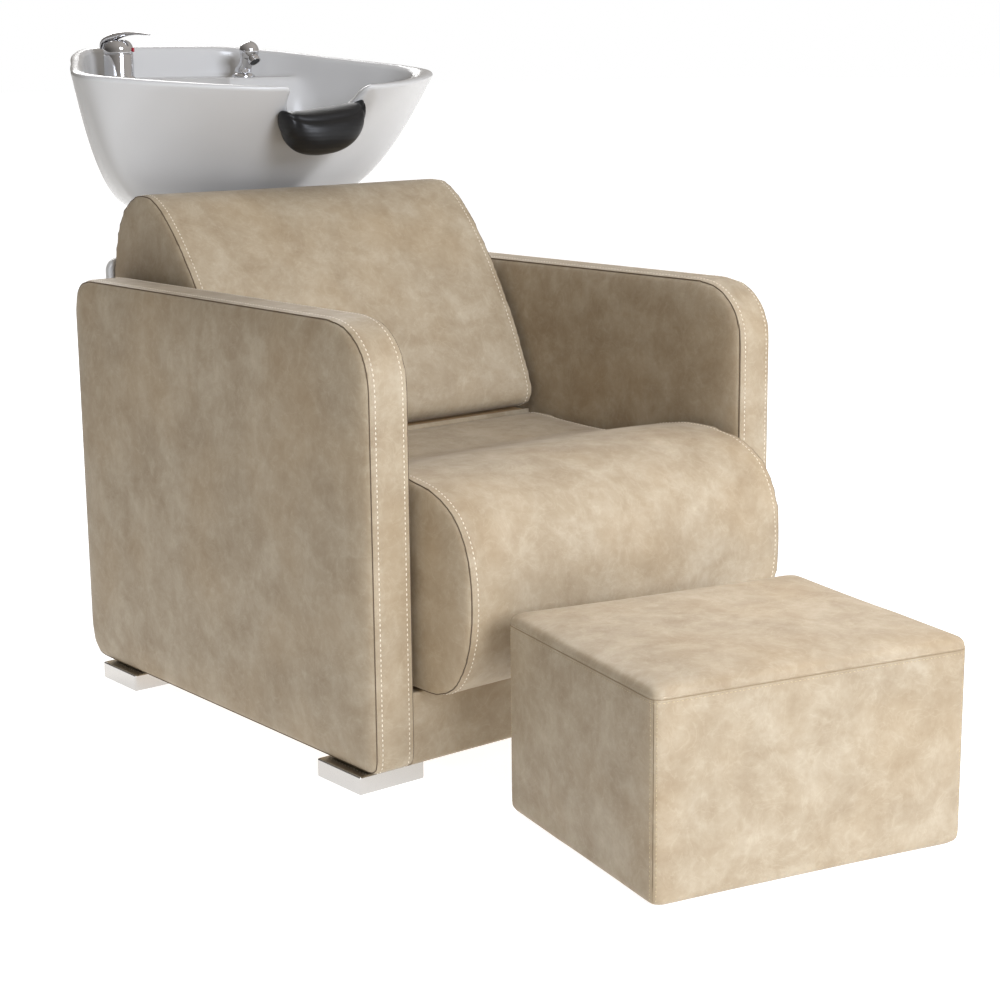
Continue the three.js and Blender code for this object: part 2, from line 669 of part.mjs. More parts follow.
const strainerProfile = [
  [0, BOWL_FLOOR + WASTE.lip + 1],
  [WASTE.bore + STRAINER.lip, BOWL_FLOOR + WASTE.lip + 1],
  [WASTE.bore + STRAINER.lip, BOWL_FLOOR + WASTE.lip + 3],
  [4, BOWL_FLOOR + WASTE.lip + 5],
  [4, BOWL_FLOOR + WASTE.lip + 15],
  [0, BOWL_FLOOR + WASTE.lip + 16],
];

// lift-out hair strainer: a holed disc with a knob, and a spigot in the waste
function strainerGeometry() {
  const low = BOWL_FLOOR + WASTE.lip;
  const disc = turned(strainerProfile, 0, DRAIN_Y, 24);
  const foot = low - STRAINER.spigot;
  const spigot = upright(WASTE.bore - 2, foot, low + 2, 0, DRAIN_Y, 24);
  const cut = [upright(WASTE.bore - 5, foot - CUT, low - 1, 0, DRAIN_Y, 24)];
  for (let k = 0; k < STRAINER.holes; k++) {
    const angle = (2 * Math.PI * k) / STRAINER.holes;
    const x = STRAINER.ring * Math.cos(angle);
    const y = DRAIN_Y + STRAINER.ring * Math.sin(angle);
    cut.push(upright(STRAINER.holeRadius, low - 4, low + CUT, x, y, 8));
  }
  return carve(disc, { join: [spigot], cut });
}
addPiece("hair_strainer", strainerGeometry(), "chrome");

// ---- mixer tap -------------------------------------------------------------------------------
const MIXER_BASE = DECK_TOP + GAP;
const MIXER_TOP = MIXER_BASE + MIXER.height;
const mixerProfile = [
  [0, MIXER_BASE - MIXER.shankLength],
  [MIXER.shank, MIXER_BASE - MIXER.shankLength],
  [MIXER.shank, MIXER_BASE],
  [MIXER.flange, MIXER_BASE],
  [MIXER.flange, MIXER_BASE + 3],
  [MIXER.radius, MIXER_BASE + 6],
  [MIXER.radius, MIXER_TOP - 2],
  [MIXER.radius - 2, MIXER_TOP],
  [0, MIXER_TOP],
];

function mixerBody() {
  const low = MIXER_BASE - MIXER.shankLength;
  const top = low + INLET.depth;
  const cut = [-1, 1].map((side) =>
    upright(INLET.radius + FIT, low - CUT, top, -TAP_X + side * INLET.x, TAP_Y, 12),
  );
  return carve(turned(mixerProfile, -TAP_X, TAP_Y), { cut });
}
addPiece("mixer_body", mixerBody(), "chrome");

const deckUnder = DECK_TOP - DECK_THICKNESS - GAP;
addPiece(
  "mixer_nut",
  ringNut(MIXER.shank + 9, MIXER.shank + GAP, deckUnder - NUT_HEIGHT, deckUnder, -TAP_X, TAP_Y),
  "steel",
);
for (const [side, label] of [[-1, "hot"], [1, "cold"]]) {
  const top = MIXER_BASE - MIXER.shankLength + INLET.depth - 1;
  const x = -TAP_X + side * INLET.x;
  const tail = upright(INLET.radius, top - INLET.length, top, x, TAP_Y, 12);
  addPiece(`${label}_inlet_tail`, tail, "steel");
}

const capBase = MIXER_TOP + GAP;
const capProfile = [
  [0, capBase],
  [MIXER.radius, capBase],
  [MIXER.radius, capBase + CAP_HEIGHT * 0.35],
  [MIXER.radius - 4, capBase + CAP_HEIGHT * 0.8],
  [MIXER.radius - 11, capBase + CAP_HEIGHT],
  [0, capBase + CAP_HEIGHT],
];
addPiece("mixer_cap", turned(capProfile, -TAP_X, TAP_Y), "chrome");

// arched lever that sweeps up from behind the cap, over it and out to a thin tip
function leverGeometry() {
  const outline = new THREE.Shape();
  outline.moveTo(-30, 6);
  outline.quadraticCurveTo(-28, 22, -8, CAP_HEIGHT + 12);
  outline.quadraticCurveTo(10, CAP_HEIGHT + 18, 52, CAP_HEIGHT + 9);
  outline.lineTo(52, CAP_HEIGHT + 5);
  outline.quadraticCurveTo(24, CAP_HEIGHT + 8, 12, CAP_HEIGHT + 1);
  outline.lineTo(-12, CAP_HEIGHT + 1);
  outline.quadraticCurveTo(-24, 14, -26, 6);
  const turn = new THREE.Matrix4().makeRotationZ(THREE.MathUtils.degToRad(LEVER_TURN));
  return slab(outline, -LEVER_WIDTH / 2, LEVER_WIDTH / 2, 6)
    .rotateZ(-Math.PI / 2)
    .applyMatrix4(turn)
    .translate(-TAP_X, TAP_Y, capBase);
}
addPiece("mixer_lever", leverGeometry(), "chrome");

// red mark on the cap, under the lever
const dotGeometry = new THREE.CylinderGeometry(DOT.radius, DOT.radius, DOT.thickness, 16)
  .rotateZ(Math.PI / 2)
  .translate(MIXER.radius + DOT.thickness / 2 + GAP, 0, capBase + DOT.z)
  .rotateZ(THREE.MathUtils.degToRad(LEVER_TURN))
  .translate(-TAP_X, TAP_Y, 0);
addPiece("temperature_dot", dotGeometry, "red");

// ---- hand spray ------------------------------------------------------------------------------
const holderProfile = [
  [HOLDER.bore, MIXER_BASE - HOLDER.length],
  [HOLDER.shank, MIXER_BASE - HOLDER.length],
  [HOLDER.shank, MIXER_BASE],
  [HOLDER.flange, MIXER_BASE],
  [HOLDER.flange, MIXER_BASE + HOLDER.lip - 3],
  [HOLDER.flange - 3, MIXER_BASE + HOLDER.lip],
  [HOLDER.bore, MIXER_BASE + HOLDER.lip],
];
addPiece("spray_holder", turned(holderProfile, TAP_X, TAP_Y), "chrome");
addPiece(
  "spray_holder_nut",
  ringNut(HOLDER.shank + 8, HOLDER.shank + GAP, deckUnder - NUT_HEIGHT, deckUnder, TAP_X, TAP_Y),
  "steel",
);

const HANDLE_BASE = MIXER_BASE + HOLDER.lip + 1;
const lean = THREE.MathUtils.degToRad(SPRAY.lean);
const headCentre = [
  TAP_X, TAP_Y - SPRAY.reach * Math.sin(lean), HANDLE_BASE + SPRAY.reach * Math.cos(lean),
];

// handle: an upright stem in the holder and a thicker grip that leans forward
function sprayHandle() {
  const stem = upright(
    SPRAY.stem, HANDLE_BASE - SPRAY.stemLength, HANDLE_BASE + 2, TAP_X, TAP_Y, 20,
  );
  const collar = upright(SPRAY.handle + 2, HANDLE_BASE, HANDLE_BASE + 7, TAP_X, TAP_Y, 20);
  const start = SPRAY.handle * Math.sin(lean) + 1;
  const long = SPRAY.reach - SPRAY.head + 4 - start;
  const grip = new THREE.CylinderGeometry(SPRAY.handle - 1, SPRAY.handle, long, 20)
    .translate(0, start + long / 2, 0)
    .rotateX(Math.PI / 2 + lean)
    .translate(TAP_X, TAP_Y, HANDLE_BASE);
  const ball = new THREE.SphereGeometry(SPRAY.head + GAP, 24, 16).translate(...headCentre);
  return carve(collar, { join: [stem, grip], cut: [ball] });
}
addPiece("spray_handle", sprayHandle(), "chrome");

const sprayHead = new THREE.SphereGeometry(SPRAY.head, 24, 16)
  .rotateX(Math.PI / 2)
  .translate(...headCentre);
addPiece("spray_head", sprayHead, "chrome");

// short nozzle that looks forward and down from the head
function nozzleGeometry() {
  const down = THREE.MathUtils.degToRad(NOZZLE.turn);
  const tube = new THREE.CylinderGeometry(NOZZLE.mouth, NOZZLE.base, NOZZLE.length, 20)
    .translate(0, SPRAY.head + 1, 0)
    .rotateX(Math.PI / 2)
    .rotateX(down)
    .translate(...headCentre);
  const ball = new THREE.SphereGeometry(SPRAY.head + GAP, 24, 16)
    .rotateX(Math.PI / 2)
    .translate(...headCentre);
  return carve(tube, { cut: [ball] });
}
addPiece("spray_nozzle", nozzleGeometry(), "plastic");

// ---- footstool -------------------------------------------------------------------------------
// drawn square, with its front left corner at the origin, then turned on the floor
const stool = new THREE.Group();
stool.position.set(STOOL_CORNER[0], STOOL_CORNER[1], 0);
stool.rotation.z = THREE.MathUtils.degToRad(STOOL_TURN);
object.add(stool);

function stoolCover() {
  const low = GLIDE.height;
  const top = low + STOOL.z;
  const outline = roundedRectangle(0, 0, STOOL.x, STOOL.y, [9, 9, 9, 9]);
  const room = block(
    [STOOL_PADDING - GAP, STOOL_PADDING - GAP, low - CUT],
    [STOOL.x - STOOL_PADDING + GAP, STOOL.y - STOOL_PADDING + GAP, top - STOOL_CROWN],
  );
  return carve(plate(outline, low, top, 3), { cut: [room] });
}
addPiece("footstool_cover", stoolCover(), "leather", stool);

function stoolFrame() {
  const low = STOOL_PADDING;
  const deep = low + STOOL_PLY;
  const top = GLIDE.height + STOOL.z - STOOL_CROWN - STOOL_PLY - 2 * GAP;
  const outer = block(
    [low, low, GLIDE.height + GAP], [STOOL.x - low, STOOL.y - low, top],
  );
  const inner = block([deep, deep, -CUT], [STOOL.x - deep, STOOL.y - deep, top + CUT]);
  return carve(outer, { cut: [inner] });
}
addPiece("footstool_frame", stoolFrame(), "plywood", stool);

const boardTop = GLIDE.height + STOOL.z - STOOL_CROWN - GAP;
const stoolBoard = block(
  [STOOL_PADDING, STOOL_PADDING, boardTop - STOOL_PLY],
  [STOOL.x - STOOL_PADDING, STOOL.y - STOOL_PADDING, boardTop],
);
addPiece("footstool_board", stoolBoard, "plywood", stool);

for (const [x, across] of [[GLIDE.inset, "left"], [STOOL.x - GLIDE.inset, "right"]]) {
  for (const [y, along] of [[GLIDE.inset, "front"], [STOOL.y - GLIDE.inset, "rear"]]) {
    const glide = upright(GLIDE.radius, 0, GLIDE.height, x, y, 16);
    addPiece(`glide_${along}_${across}`, glide, "plastic", stool);
  }
}

// ---- own frame: the middle of the underside of the whole object's box ----------------------------
object.updateMatrixWorld(true);
const box = new THREE.Box3().setFromObject(object, true);
object.position.set(-(box.min.x + box.max.x) / 2, -(box.min.y + box.max.y) / 2, -box.min.z);

export default object;
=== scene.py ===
import json
import math

import bmesh
import bpy
import numpy as np
from mathutils import Matrix, Vector
from mathutils.bvhtree import BVHTree
from mathutils.kdtree import KDTree

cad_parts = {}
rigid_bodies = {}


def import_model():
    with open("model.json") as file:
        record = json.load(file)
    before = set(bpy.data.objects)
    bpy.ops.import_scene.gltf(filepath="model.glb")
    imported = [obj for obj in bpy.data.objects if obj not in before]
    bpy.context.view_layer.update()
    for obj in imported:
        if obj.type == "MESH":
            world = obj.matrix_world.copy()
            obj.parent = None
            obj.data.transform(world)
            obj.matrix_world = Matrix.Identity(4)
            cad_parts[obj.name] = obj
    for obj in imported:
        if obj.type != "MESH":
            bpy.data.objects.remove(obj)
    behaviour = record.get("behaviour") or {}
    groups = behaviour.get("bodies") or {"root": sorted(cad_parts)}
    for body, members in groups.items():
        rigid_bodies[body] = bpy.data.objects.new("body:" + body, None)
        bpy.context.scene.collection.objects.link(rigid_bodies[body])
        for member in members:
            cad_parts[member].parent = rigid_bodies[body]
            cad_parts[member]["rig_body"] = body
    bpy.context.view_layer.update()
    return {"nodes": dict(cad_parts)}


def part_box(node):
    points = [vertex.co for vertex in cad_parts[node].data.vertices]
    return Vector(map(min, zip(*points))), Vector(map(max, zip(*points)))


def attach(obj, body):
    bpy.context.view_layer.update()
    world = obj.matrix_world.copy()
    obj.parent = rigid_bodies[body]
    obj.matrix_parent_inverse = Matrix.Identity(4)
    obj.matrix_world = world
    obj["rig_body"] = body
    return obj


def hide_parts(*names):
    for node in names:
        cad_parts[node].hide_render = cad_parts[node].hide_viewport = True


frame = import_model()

nodes = frame["nodes"]
scene = bpy.context.scene

# ---- Camera ------------------------------------------------------------------------------------
# A long portrait lens at seat height, left of the chair's front and looking a little down.
# Its place is measured from the front of the arms and the chair's middle plane.
chair_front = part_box("arm_cover_left")[0][1]
camera_yaw, camera_pitch, camera_roll = (math.radians(a) for a in (38.45, 12.18, -0.68))
look = Vector((
    math.sin(camera_yaw) * math.cos(camera_pitch),
    math.cos(camera_yaw) * math.cos(camera_pitch),
    -math.sin(camera_pitch),
))
level = Vector((math.cos(camera_yaw), -math.sin(camera_yaw), 0))
lens_right = level * math.cos(camera_roll) + level.cross(look) * math.sin(camera_roll)
lens_up = level.cross(look) * math.cos(camera_roll) - level * math.sin(camera_roll)
camera = bpy.data.objects.new("studio_camera", bpy.data.cameras.new("studio_camera"))
scene.collection.objects.link(camera)
camera.data.sensor_width = 36
camera.data.lens = 73.505
camera.data.shift_x = 0.0182
camera.matrix_world = Matrix.Translation((-1.725, chair_front - 1.952, 0.895)) @ Matrix(
    (lens_right, lens_up, -look)
).transposed().to_4x4()
scene.camera = camera

# ---- Studio ------------------------------------------------------------------------------------
# A white room with a luminous white floor and three cloth softboxes. The brightest stands far in
# front of the chair, so faces that look forward are the palest. One is high behind the chair,
# and a small one with a grid hangs over the footstool.
scene.view_settings.view_transform = "Standard"


def linear(hex_colour):
    """An sRGB hex colour as linear red, green, blue and alpha."""
    parts = [int(hex_colour[i:i + 2], 16) / 255 for i in (1, 3, 5)]
    return (*[p / 12.92 if p <= 0.04045 else ((p + 0.055) / 1.055) ** 2.4 for p in parts], 1)


def add_node(tree, kind, settings=None, **sockets):
    """Adds a node, sets its properties, and links or sets the sockets named or numbered."""
    node = tree.nodes.new(kind)
    for key, value in (settings or {}).items():
        setattr(node, key, value)
    for key, value in sockets.items():
        socket = node.inputs[int(key[1:]) if key[0] == "_" else key.replace("_", " ")]
        if isinstance(value, bpy.types.NodeSocket):
            tree.links.new(value, socket)
        else:
            socket.default_value = value
    return node


def new_material(name):
    """An empty material, its node tree, and the coordinates of the object."""
    material = bpy.data.materials.new(name)
    material.use_nodes = True
    tree = material.node_tree
    tree.nodes.clear()
    return material, tree, add_node(tree, "ShaderNodeTexCoord").outputs["Object"]


def surface(tree, **sockets):
    """Ends a material with the shader that all of them share."""
    shader = add_node(tree, "ShaderNodeBsdfPrincipled", **sockets)
    add_node(tree, "ShaderNodeOutputMaterial", Surface=shader.outputs[0])


def luminous_vinyl():
    """Pale matt vinyl over a light table: most of its light is its own, so shade on it is faint.

    The table's glow falls off to the left of the chair, past the part that the lens takes in.
    """
    material, tree, place = new_material("white_studio_vinyl")
    cloud = add_node(tree, "ShaderNodeTexNoise", Vector=place, Scale=0.7, Detail=2.0)
    tone = add_node(
        tree, "ShaderNodeMix", {"data_type": "RGBA"}, _0=cloud.outputs[0],
        _6=linear("#b4b4b4"), _7=linear("#bcbcbc"))
    to_the_right = add_node(
        tree, "ShaderNodeVectorMath", {"operation": "DOT_PRODUCT"}, _0=place,
        _1=(0.909, -0.416, 0.0)).outputs["Value"]
    glow = add_node(
        tree, "ShaderNodeMapRange", {"interpolation_type": "SMOOTHSTEP"}, Value=to_the_right,
        From_Min=-1.5, From_Max=-0.78, To_Min=0.4, To_Max=0.9)
    surface(tree, Base_Color=tone.outputs[2], Roughness=0.9, Emission_Color=(1, 1, 1, 1),
            Emission_Strength=glow.outputs[0])
    return material


floor_reach = 60
floor_mesh = bpy.data.meshes.new("studio_floor")
floor_mesh.from_pydata(
    [(x * floor_reach, y * floor_reach, 0) for x, y in ((-1, -1), (1, -1), (1, 1), (-1, 1))],
    [], [(0, 1, 2, 3)])
floor_mesh.materials.append(luminous_vinyl())
studio_floor = bpy.data.objects.new("studio_floor", floor_mesh)
scene.collection.objects.link(studio_floor)

# The camera sees white walls. The light that they give falls off to the left and to the back,
# where the room is open and dark.
white_room = bpy.data.worlds.new("white_room")
scene.world = white_room
white_room.use_nodes = True
room_tree = white_room.node_tree
room_tree.nodes.clear()
seen = add_node(room_tree, "ShaderNodeLightPath").outputs["Is Camera Ray"]
towards = add_node(room_tree, "ShaderNodeTexCoord").outputs["Generated"]
bright_side = add_node(
    room_tree, "ShaderNodeVectorMath", {"operation": "DOT_PRODUCT"}, _0=towards,
    _1=(0.56, -0.52, 0.64)).outputs["Value"]
given_light = add_node(
    room_tree, "ShaderNodeMapRange", Value=bright_side, From_Min=-1.0, From_Max=1.0,
    To_Min=0.0, To_Max=0.58).outputs[0]
wall_light = add_node(
    room_tree, "ShaderNodeMix", {"data_type": "FLOAT"}, _0=seen, _2=given_light,
    _3=1.0).outputs[0]
wall_colour = add_node(
    room_tree, "ShaderNodeMix", {"data_type": "RGBA"}, _0=seen, _6=(1, 0.93, 0.86, 1),
    _7=(1, 1, 1, 1)).outputs[2]
walls = add_node(room_tree, "ShaderNodeBackground", Color=wall_colour, Strength=wall_light)
add_node(room_tree, "ShaderNodeOutputWorld", Surface=walls.outputs[0])


def softbox(name, place, aim, size, power, colour, spread=180):
    """A square softbox at place that faces aim. A grid on it narrows its spread, in degrees."""
    light = bpy.data.objects.new(name, bpy.data.lights.new(name, "AREA"))
    scene.collection.objects.link(light)
    light.data.size = size
    light.data.energy = power
    light.data.color = colour
    light.data.spread = math.radians(spread)
    light.location = place
    light.rotation_euler = (Vector(aim) - Vector(place)).to_track_quat("-Z", "Y").to_euler()


softbox("front_softbox", (-0.8, -8.0, 3.2), (0, 0, 0.4), 3.2, 630, (0.97, 1.03, 1.15))
softbox("back_softbox", (0.9, 3.6, 3.1), (0, -0.8, 0.3), 2.2, 110, (1.0, 1.0, 1.0))
softbox("stool_softbox", (0.25, -0.62, 2.8), (0.1, -0.72, 0.25), 0.6, 2.4, (1.0, 1.0, 1.06), 34)

# ---- Arms --------------------------------------------------------------------------------------
# Each arm is a plywood core in foam, covered in mottled beige faux leather. Two side panels are
# sewn to one long band, and a row of cream top stitches runs beside each seam, on the band.


def faux_leather():
    """Coated cloth: a cloudy two-tone print, a fine embossed grain and a thin satin top coat.

    The clouds are 40 to 80 mm wide and run into each other, with paler wisps 5 to 15 mm across
    and thin pale lines where the cloth was crumpled.
    The grain's cells are drawn 1.6 mm wide, twice the real size, so that they just show.
    """
    material, tree, place = new_material("beige_faux_leather")
    cloud = add_node(
        tree, "ShaderNodeTexNoise", Vector=place, Scale=19.0, Detail=9.0, Roughness=0.7,
        Distortion=0.25)
    ramp = add_node(tree, "ShaderNodeValToRGB", Fac=cloud.outputs[0])
    stops = ramp.color_ramp.elements
    stops[0].position, stops[0].color = 0.31, linear("#928066")
    stops[1].position, stops[1].color = 0.70, linear("#b0a28b")
    stops.new(0.5).color = linear("#a19178")
    wisp = add_node(
        tree, "ShaderNodeTexNoise", Vector=place, Scale=60.0, Detail=6.0, Roughness=0.64,
        Distortion=0.7)
    wisp_share = add_node(
        tree, "ShaderNodeMapRange", Value=wisp.outputs[0], From_Min=0.52, From_Max=0.76,
        To_Min=0.0, To_Max=0.28)
    paler = add_node(
        tree, "ShaderNodeMix", {"data_type": "RGBA"}, _0=wisp_share.outputs[0],
        _6=ramp.outputs[0], _7=linear("#c0b39c"))
    warm = add_node(
        tree, "ShaderNodeTexNoise", Vector=place, Scale=6.0, Detail=3.0, Roughness=0.5)
    warm_share = add_node(
        tree, "ShaderNodeMapRange", Value=warm.outputs[0], From_Min=0.45, From_Max=0.7,
        To_Min=0.0, To_Max=0.28)
    warmed = add_node(
        tree, "ShaderNodeMix", {"data_type": "RGBA"}, _0=warm_share.outputs[0],
        _6=paler.outputs[2], _7=linear("#a68c66"))
    crumple = add_node(
        tree, "ShaderNodeTexNoise", Vector=place, Scale=24.0, Detail=4.0, Roughness=0.55,
        Distortion=1.3)
    off_middle = add_node(
        tree, "ShaderNodeMath", {"operation": "SUBTRACT"}, _0=crumple.outputs[0], _1=0.5)
    from_line = add_node(
        tree, "ShaderNodeMath", {"operation": "ABSOLUTE"}, _0=off_middle.outputs[0])
    line_share = add_node(
        tree, "ShaderNodeMapRange", Value=from_line.outputs[0], From_Min=0.0, From_Max=0.022,
        To_Min=0.13, To_Max=0.0)
    print_colour = add_node(
        tree, "ShaderNodeMix", {"data_type": "RGBA"}, _0=line_share.outputs[0],
        _6=warmed.outputs[2], _7=linear("#c9bca4"))
    crease = add_node(
        tree, "ShaderNodeTexNoise", Vector=place, Scale=34.0, Detail=6.0, Roughness=0.62,
        Distortion=1.6)
    grain = add_node(
        tree, "ShaderNodeTexVoronoi", {"feature": "SMOOTH_F1"}, Vector=place, Scale=620.0)
    soft_folds = add_node(
        tree, "ShaderNodeBump", Strength=0.22, Distance=0.002, Height=crease.outputs[0])
    pores = add_node(
        tree, "ShaderNodeBump", Strength=0.25, Distance=0.0004,
        Height=grain.outputs["Distance"], Normal=soft_folds.outputs[0])
    satin = add_node(
        tree, "ShaderNodeMapRange", Value=cloud.outputs[0], From_Min=0.3, From_Max=0.7,
        To_Min=0.64, To_Max=0.55)
    surface(tree, Base_Color=print_colour.outputs[2], Roughness=satin.outputs[0],
            Normal=pores.outputs[0], Coat_Weight=0.08, Coat_Roughness=0.45, IOR=1.48,
            Sheen_Weight=0.06, Sheen_Roughness=0.5)
    return material


def paint_seam_shade(name, dark, light):
    """A thin dark tube for the groove of a sewn seam, where two folded edges of faux leather meet:
    its colour is painted shade.
    """
    material, tree, place = new_material(name)
    lint = add_node(tree, "ShaderNodeTexNoise", Vector=place, Scale=900.0, Detail=2.0)
    tone = add_node(
        tree, "ShaderNodeMix", {"data_type": "RGBA"}, _0=lint.outputs[0],
        _6=linear(dark), _7=linear(light))
    surface(tree, Base_Color=tone.outputs[2], Roughness=0.85)
    return material


def waxed_thread(name, dark, light):
    """Twisted polyester thread: slanting ridges about 2 mm apart, which break up its highlight,
    with painted shade darkening the grooves between them.
    """
    material, tree, place = new_material(name)
    twist = add_node(
        tree, "ShaderNodeTexWave", {"bands_direction": "DIAGONAL"}, Vector=place,
        Scale=240.0, Distortion=1.0)
    # darker where the twist's ridges are low: painted shade in the grooves between them
    tone = add_node(
        tree, "ShaderNodeMix", {"data_type": "RGBA"}, _0=twist.outputs["Fac"],
        _6=linear(dark), _7=linear(light))
    ridges = add_node(
        tree, "ShaderNodeBump", Strength=0.3, Distance=0.0003, Height=twist.outputs["Fac"])
    surface(tree, Base_Color=tone.outputs[2], Roughness=0.6, Normal=ridges.outputs[0],
            Sheen_Weight=0.2)
    return material


leather = faux_leather()
# the dark brown of the seam tubes is painted shade for the seams' grooves
seam_shade_paint = paint_seam_shade("sewn_seam_painted_shade", "#4a3d2d", "#6b5a45")
thread = waxed_thread("cream_polyester_thread", "#d3c6ae", "#f0e6d3")


def place_piece(name, mesh, *materials):
    """Puts a mesh in the scene as a smooth object at the origin."""
    piece = bpy.data.objects.new(name, mesh)
    scene.collection.objects.link(piece)
    for material in materials:
        mesh.materials.append(material)
    mesh.shade_smooth()
    return piece


def plain(piece):
    """Turns a piece's modifiers into plain mesh and takes them off."""
    evaluated = piece.evaluated_get(bpy.context.evaluated_depsgraph_get())
    made = bpy.data.meshes.new_from_object(evaluated)
    piece.modifiers.clear()
    piece.data = made
    made.name = piece.name
    return piece


def merged(node):
    """A bmesh copy of a frame piece with its loose triangles joined."""
    shape = bmesh.new()
    shape.from_mesh(nodes[node].data)
    bmesh.ops.remove_doubles(shape, verts=shape.verts, dist=1e-5)
    shape.normal_update()
    return shape


def ring_faces(rings, around, closed=False, capped=False):
    """Faces between rings of points, which may join up again or be capped at both ends."""
    faces = [
        (i * around + j, i * around + (j + 1) % around,
         (i + 1) % rings * around + (j + 1) % around, (i + 1) % rings * around + j)
        for i in range(rings if closed else rings - 1) for j in range(around)]
    if capped:
        faces.append(tuple(reversed(range(around))))
        faces.append(tuple((rings - 1) * around + j for j in range(around)))
    return faces


def outward_mesh(name, spots, faces):
    """A mesh whose faces look outward."""
    mesh = bpy.data.meshes.new(name)
    mesh.from_pydata(spots, [], faces)
    shape = bmesh.new()
    shape.from_mesh(mesh)
    bmesh.ops.recalc_face_normals(shape, faces=shape.faces)
    shape.to_mesh(mesh)
    shape.free()
    return mesh


def end_outline(node, axis=0):
    """The outline of a frame piece's high end along an axis, as a loop of points."""
    shape = merged(node)
    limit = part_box(node)[1][axis] - 1e-4
    rim = [e for e in shape.edges if all(v.co[axis] > limit for v in e.verts)
           and any(abs(f.normal[axis]) < 0.5 for f in e.link_faces)]
    beside = {}
    for edge in rim:
        first, second = edge.verts
        beside.setdefault(first, []).append(second)
        beside.setdefault(second, []).append(first)
    loops = []
    while beside:
        here = next(iter(beside))
        loop = []
        while here in beside:
            loop.append(here.co.copy())
            here = next((v for v in beside.pop(here) if v in beside), None)
        loops.append(loop)
    shape.free()
    return max(loops, key=lambda loop: sum((a - b).length for a, b in zip(loop, loop[1:])))


def evenly(points, step):
    """Points an even step apart along a closed line."""
    line = np.array([*points, points[0]], float)
    along = np.concatenate([[0], np.cumsum(np.linalg.norm(np.diff(line, axis=0), axis=1))])
    stations = np.linspace(0, along[-1], max(8, round(along[-1] / step)), endpoint=False)
    return np.stack([np.interp(stations, along, line[:, k]) for k in range(3)], 1)


def shrunk(points, sink):
    """A closed flat outline moved in by sink, as a share of its size on each axis."""
    low, high = points.min(0), points.max(0)
    size = np.maximum(high - low, 1e-6)
    scale = np.where(size > 4 * sink, (size - 2 * sink) / size, 1)
    return (points - (low + high) / 2) * scale + (low + high) / 2


def stuffed(name, near, far, swell, stiff, voxel, seams):
    """A cushion between two outlines, blown up by cloth simulation and held along its seams.

    swell is how far its end panels and its band may travel. stiff is how far from a seam the
    band stays still, because the top stitches hold it to the seam allowance.
    """
    faces = ring_faces(2, len(near), capped=True)
    piece = place_piece(name, outward_mesh(name, [*near, *far], faces))
    remesh = piece.modifiers.new("even_mesh", "REMESH")
    remesh.mode, remesh.voxel_size = "VOXEL", voxel
    plain(piece)
    rest = np.array([v.co[:] for v in piece.data.vertices])
    normals = np.array([v.normal[:] for v in piece.data.vertices])
    across = near[0] - far[0]
    panel = np.abs(normals @ (across / np.linalg.norm(across))) > 0.75
    tree = KDTree(sum(len(s) for s in seams))
    for k, point in enumerate(p for s in seams for p in s):
        tree.insert(point, k)
    tree.balance()
    reach = np.array([tree.find(point)[2] for point in rest])
    still = (reach < voxel * 0.8) | ((reach < stiff) & ~panel)
    held = piece.vertex_groups.new(name="held_by_seams")
    held.add([int(k) for k in np.flatnonzero(still)], 1.0, "REPLACE")
    cloth = piece.modifiers.new("foam_pressure", "CLOTH")
    cloth.settings.vertex_group_mass = "held_by_seams"
    cloth.settings.use_pressure = True
    cloth.settings.uniform_pressure_force = 4
    cloth.settings.effector_weights.gravity = 0
    cloth.settings.quality = 4
    last_step = 20
    cloth.point_cache.frame_start, cloth.point_cache.frame_end = 1, last_step
    for step in range(1, last_step + 1):
        scene.frame_set(step)
    plain(piece)
    scene.frame_set(1)
    moved = np.array([v.co[:] for v in piece.data.vertices]) - rest
    length = np.maximum(np.linalg.norm(moved, axis=1), 1e-9)
    cap = np.where(panel, *swell)
    moved *= (cap * np.tanh(length / cap) / length)[:, None]
    # the wadding under the cover makes each panel stand up at once beside its seam
    puff, puff_width = 0.0030, 0.008
    moved += normals * (panel * puff * (1 - np.exp(-reach / puff_width)))[:, None]
    piece.data.vertices.foreach_set("co", (rest + moved).ravel())
    ease = piece.modifiers.new("even_skin", "SMOOTH")
    ease.factor, ease.iterations = 0.5, 3
    finer = piece.modifiers.new("fine_skin", "SUBSURF")
    finer.levels = finer.render_levels = 1
    plain(piece)
    piece.data.materials.clear()
    piece.data.materials.append(leather)
    piece.data.shade_smooth()
    return piece


def tube(points, radius, sides=8):
    """A closed ring of tube along points, as a mesh."""
    points = np.array(points)
    tangent = np.roll(points, -1, 0) - np.roll(points, 1, 0)
    tangent /= np.linalg.norm(tangent, axis=1)[:, None]
    side = np.cross(tangent, (1.0, 0.0, 0.0))
    flat = np.linalg.norm(side, axis=1) < 0.3
    side[flat] = np.cross(tangent[flat], (0.0, 0.0, 1.0))
    side /= np.linalg.norm(side, axis=1)[:, None]
    other = np.cross(side, tangent)
    angles = np.arange(sides) * 2 * math.pi / sides
    rings = [points + radius * (math.cos(a) * side + math.sin(a) * other) for a in angles]
    spots = np.stack(rings, 1).reshape(-1, 3)
    mesh = bpy.data.meshes.new("tube")
    mesh.from_pydata(spots, [], ring_faces(len(points), sides, closed=True))
    return mesh


def laid_on(piece, points, sink=0.0):
    """Points moved to the nearest spot on a piece's skin, and sink under it."""
    skin = BVHTree.FromPolygons(
        [v.co for v in piece.data.vertices], [p.vertices for p in piece.data.polygons])
    spots = []
    for point in points:
        spot, normal, _, _ = skin.find_nearest(Vector(point))
        spots.append(spot - normal * sink)
    return np.array(spots)


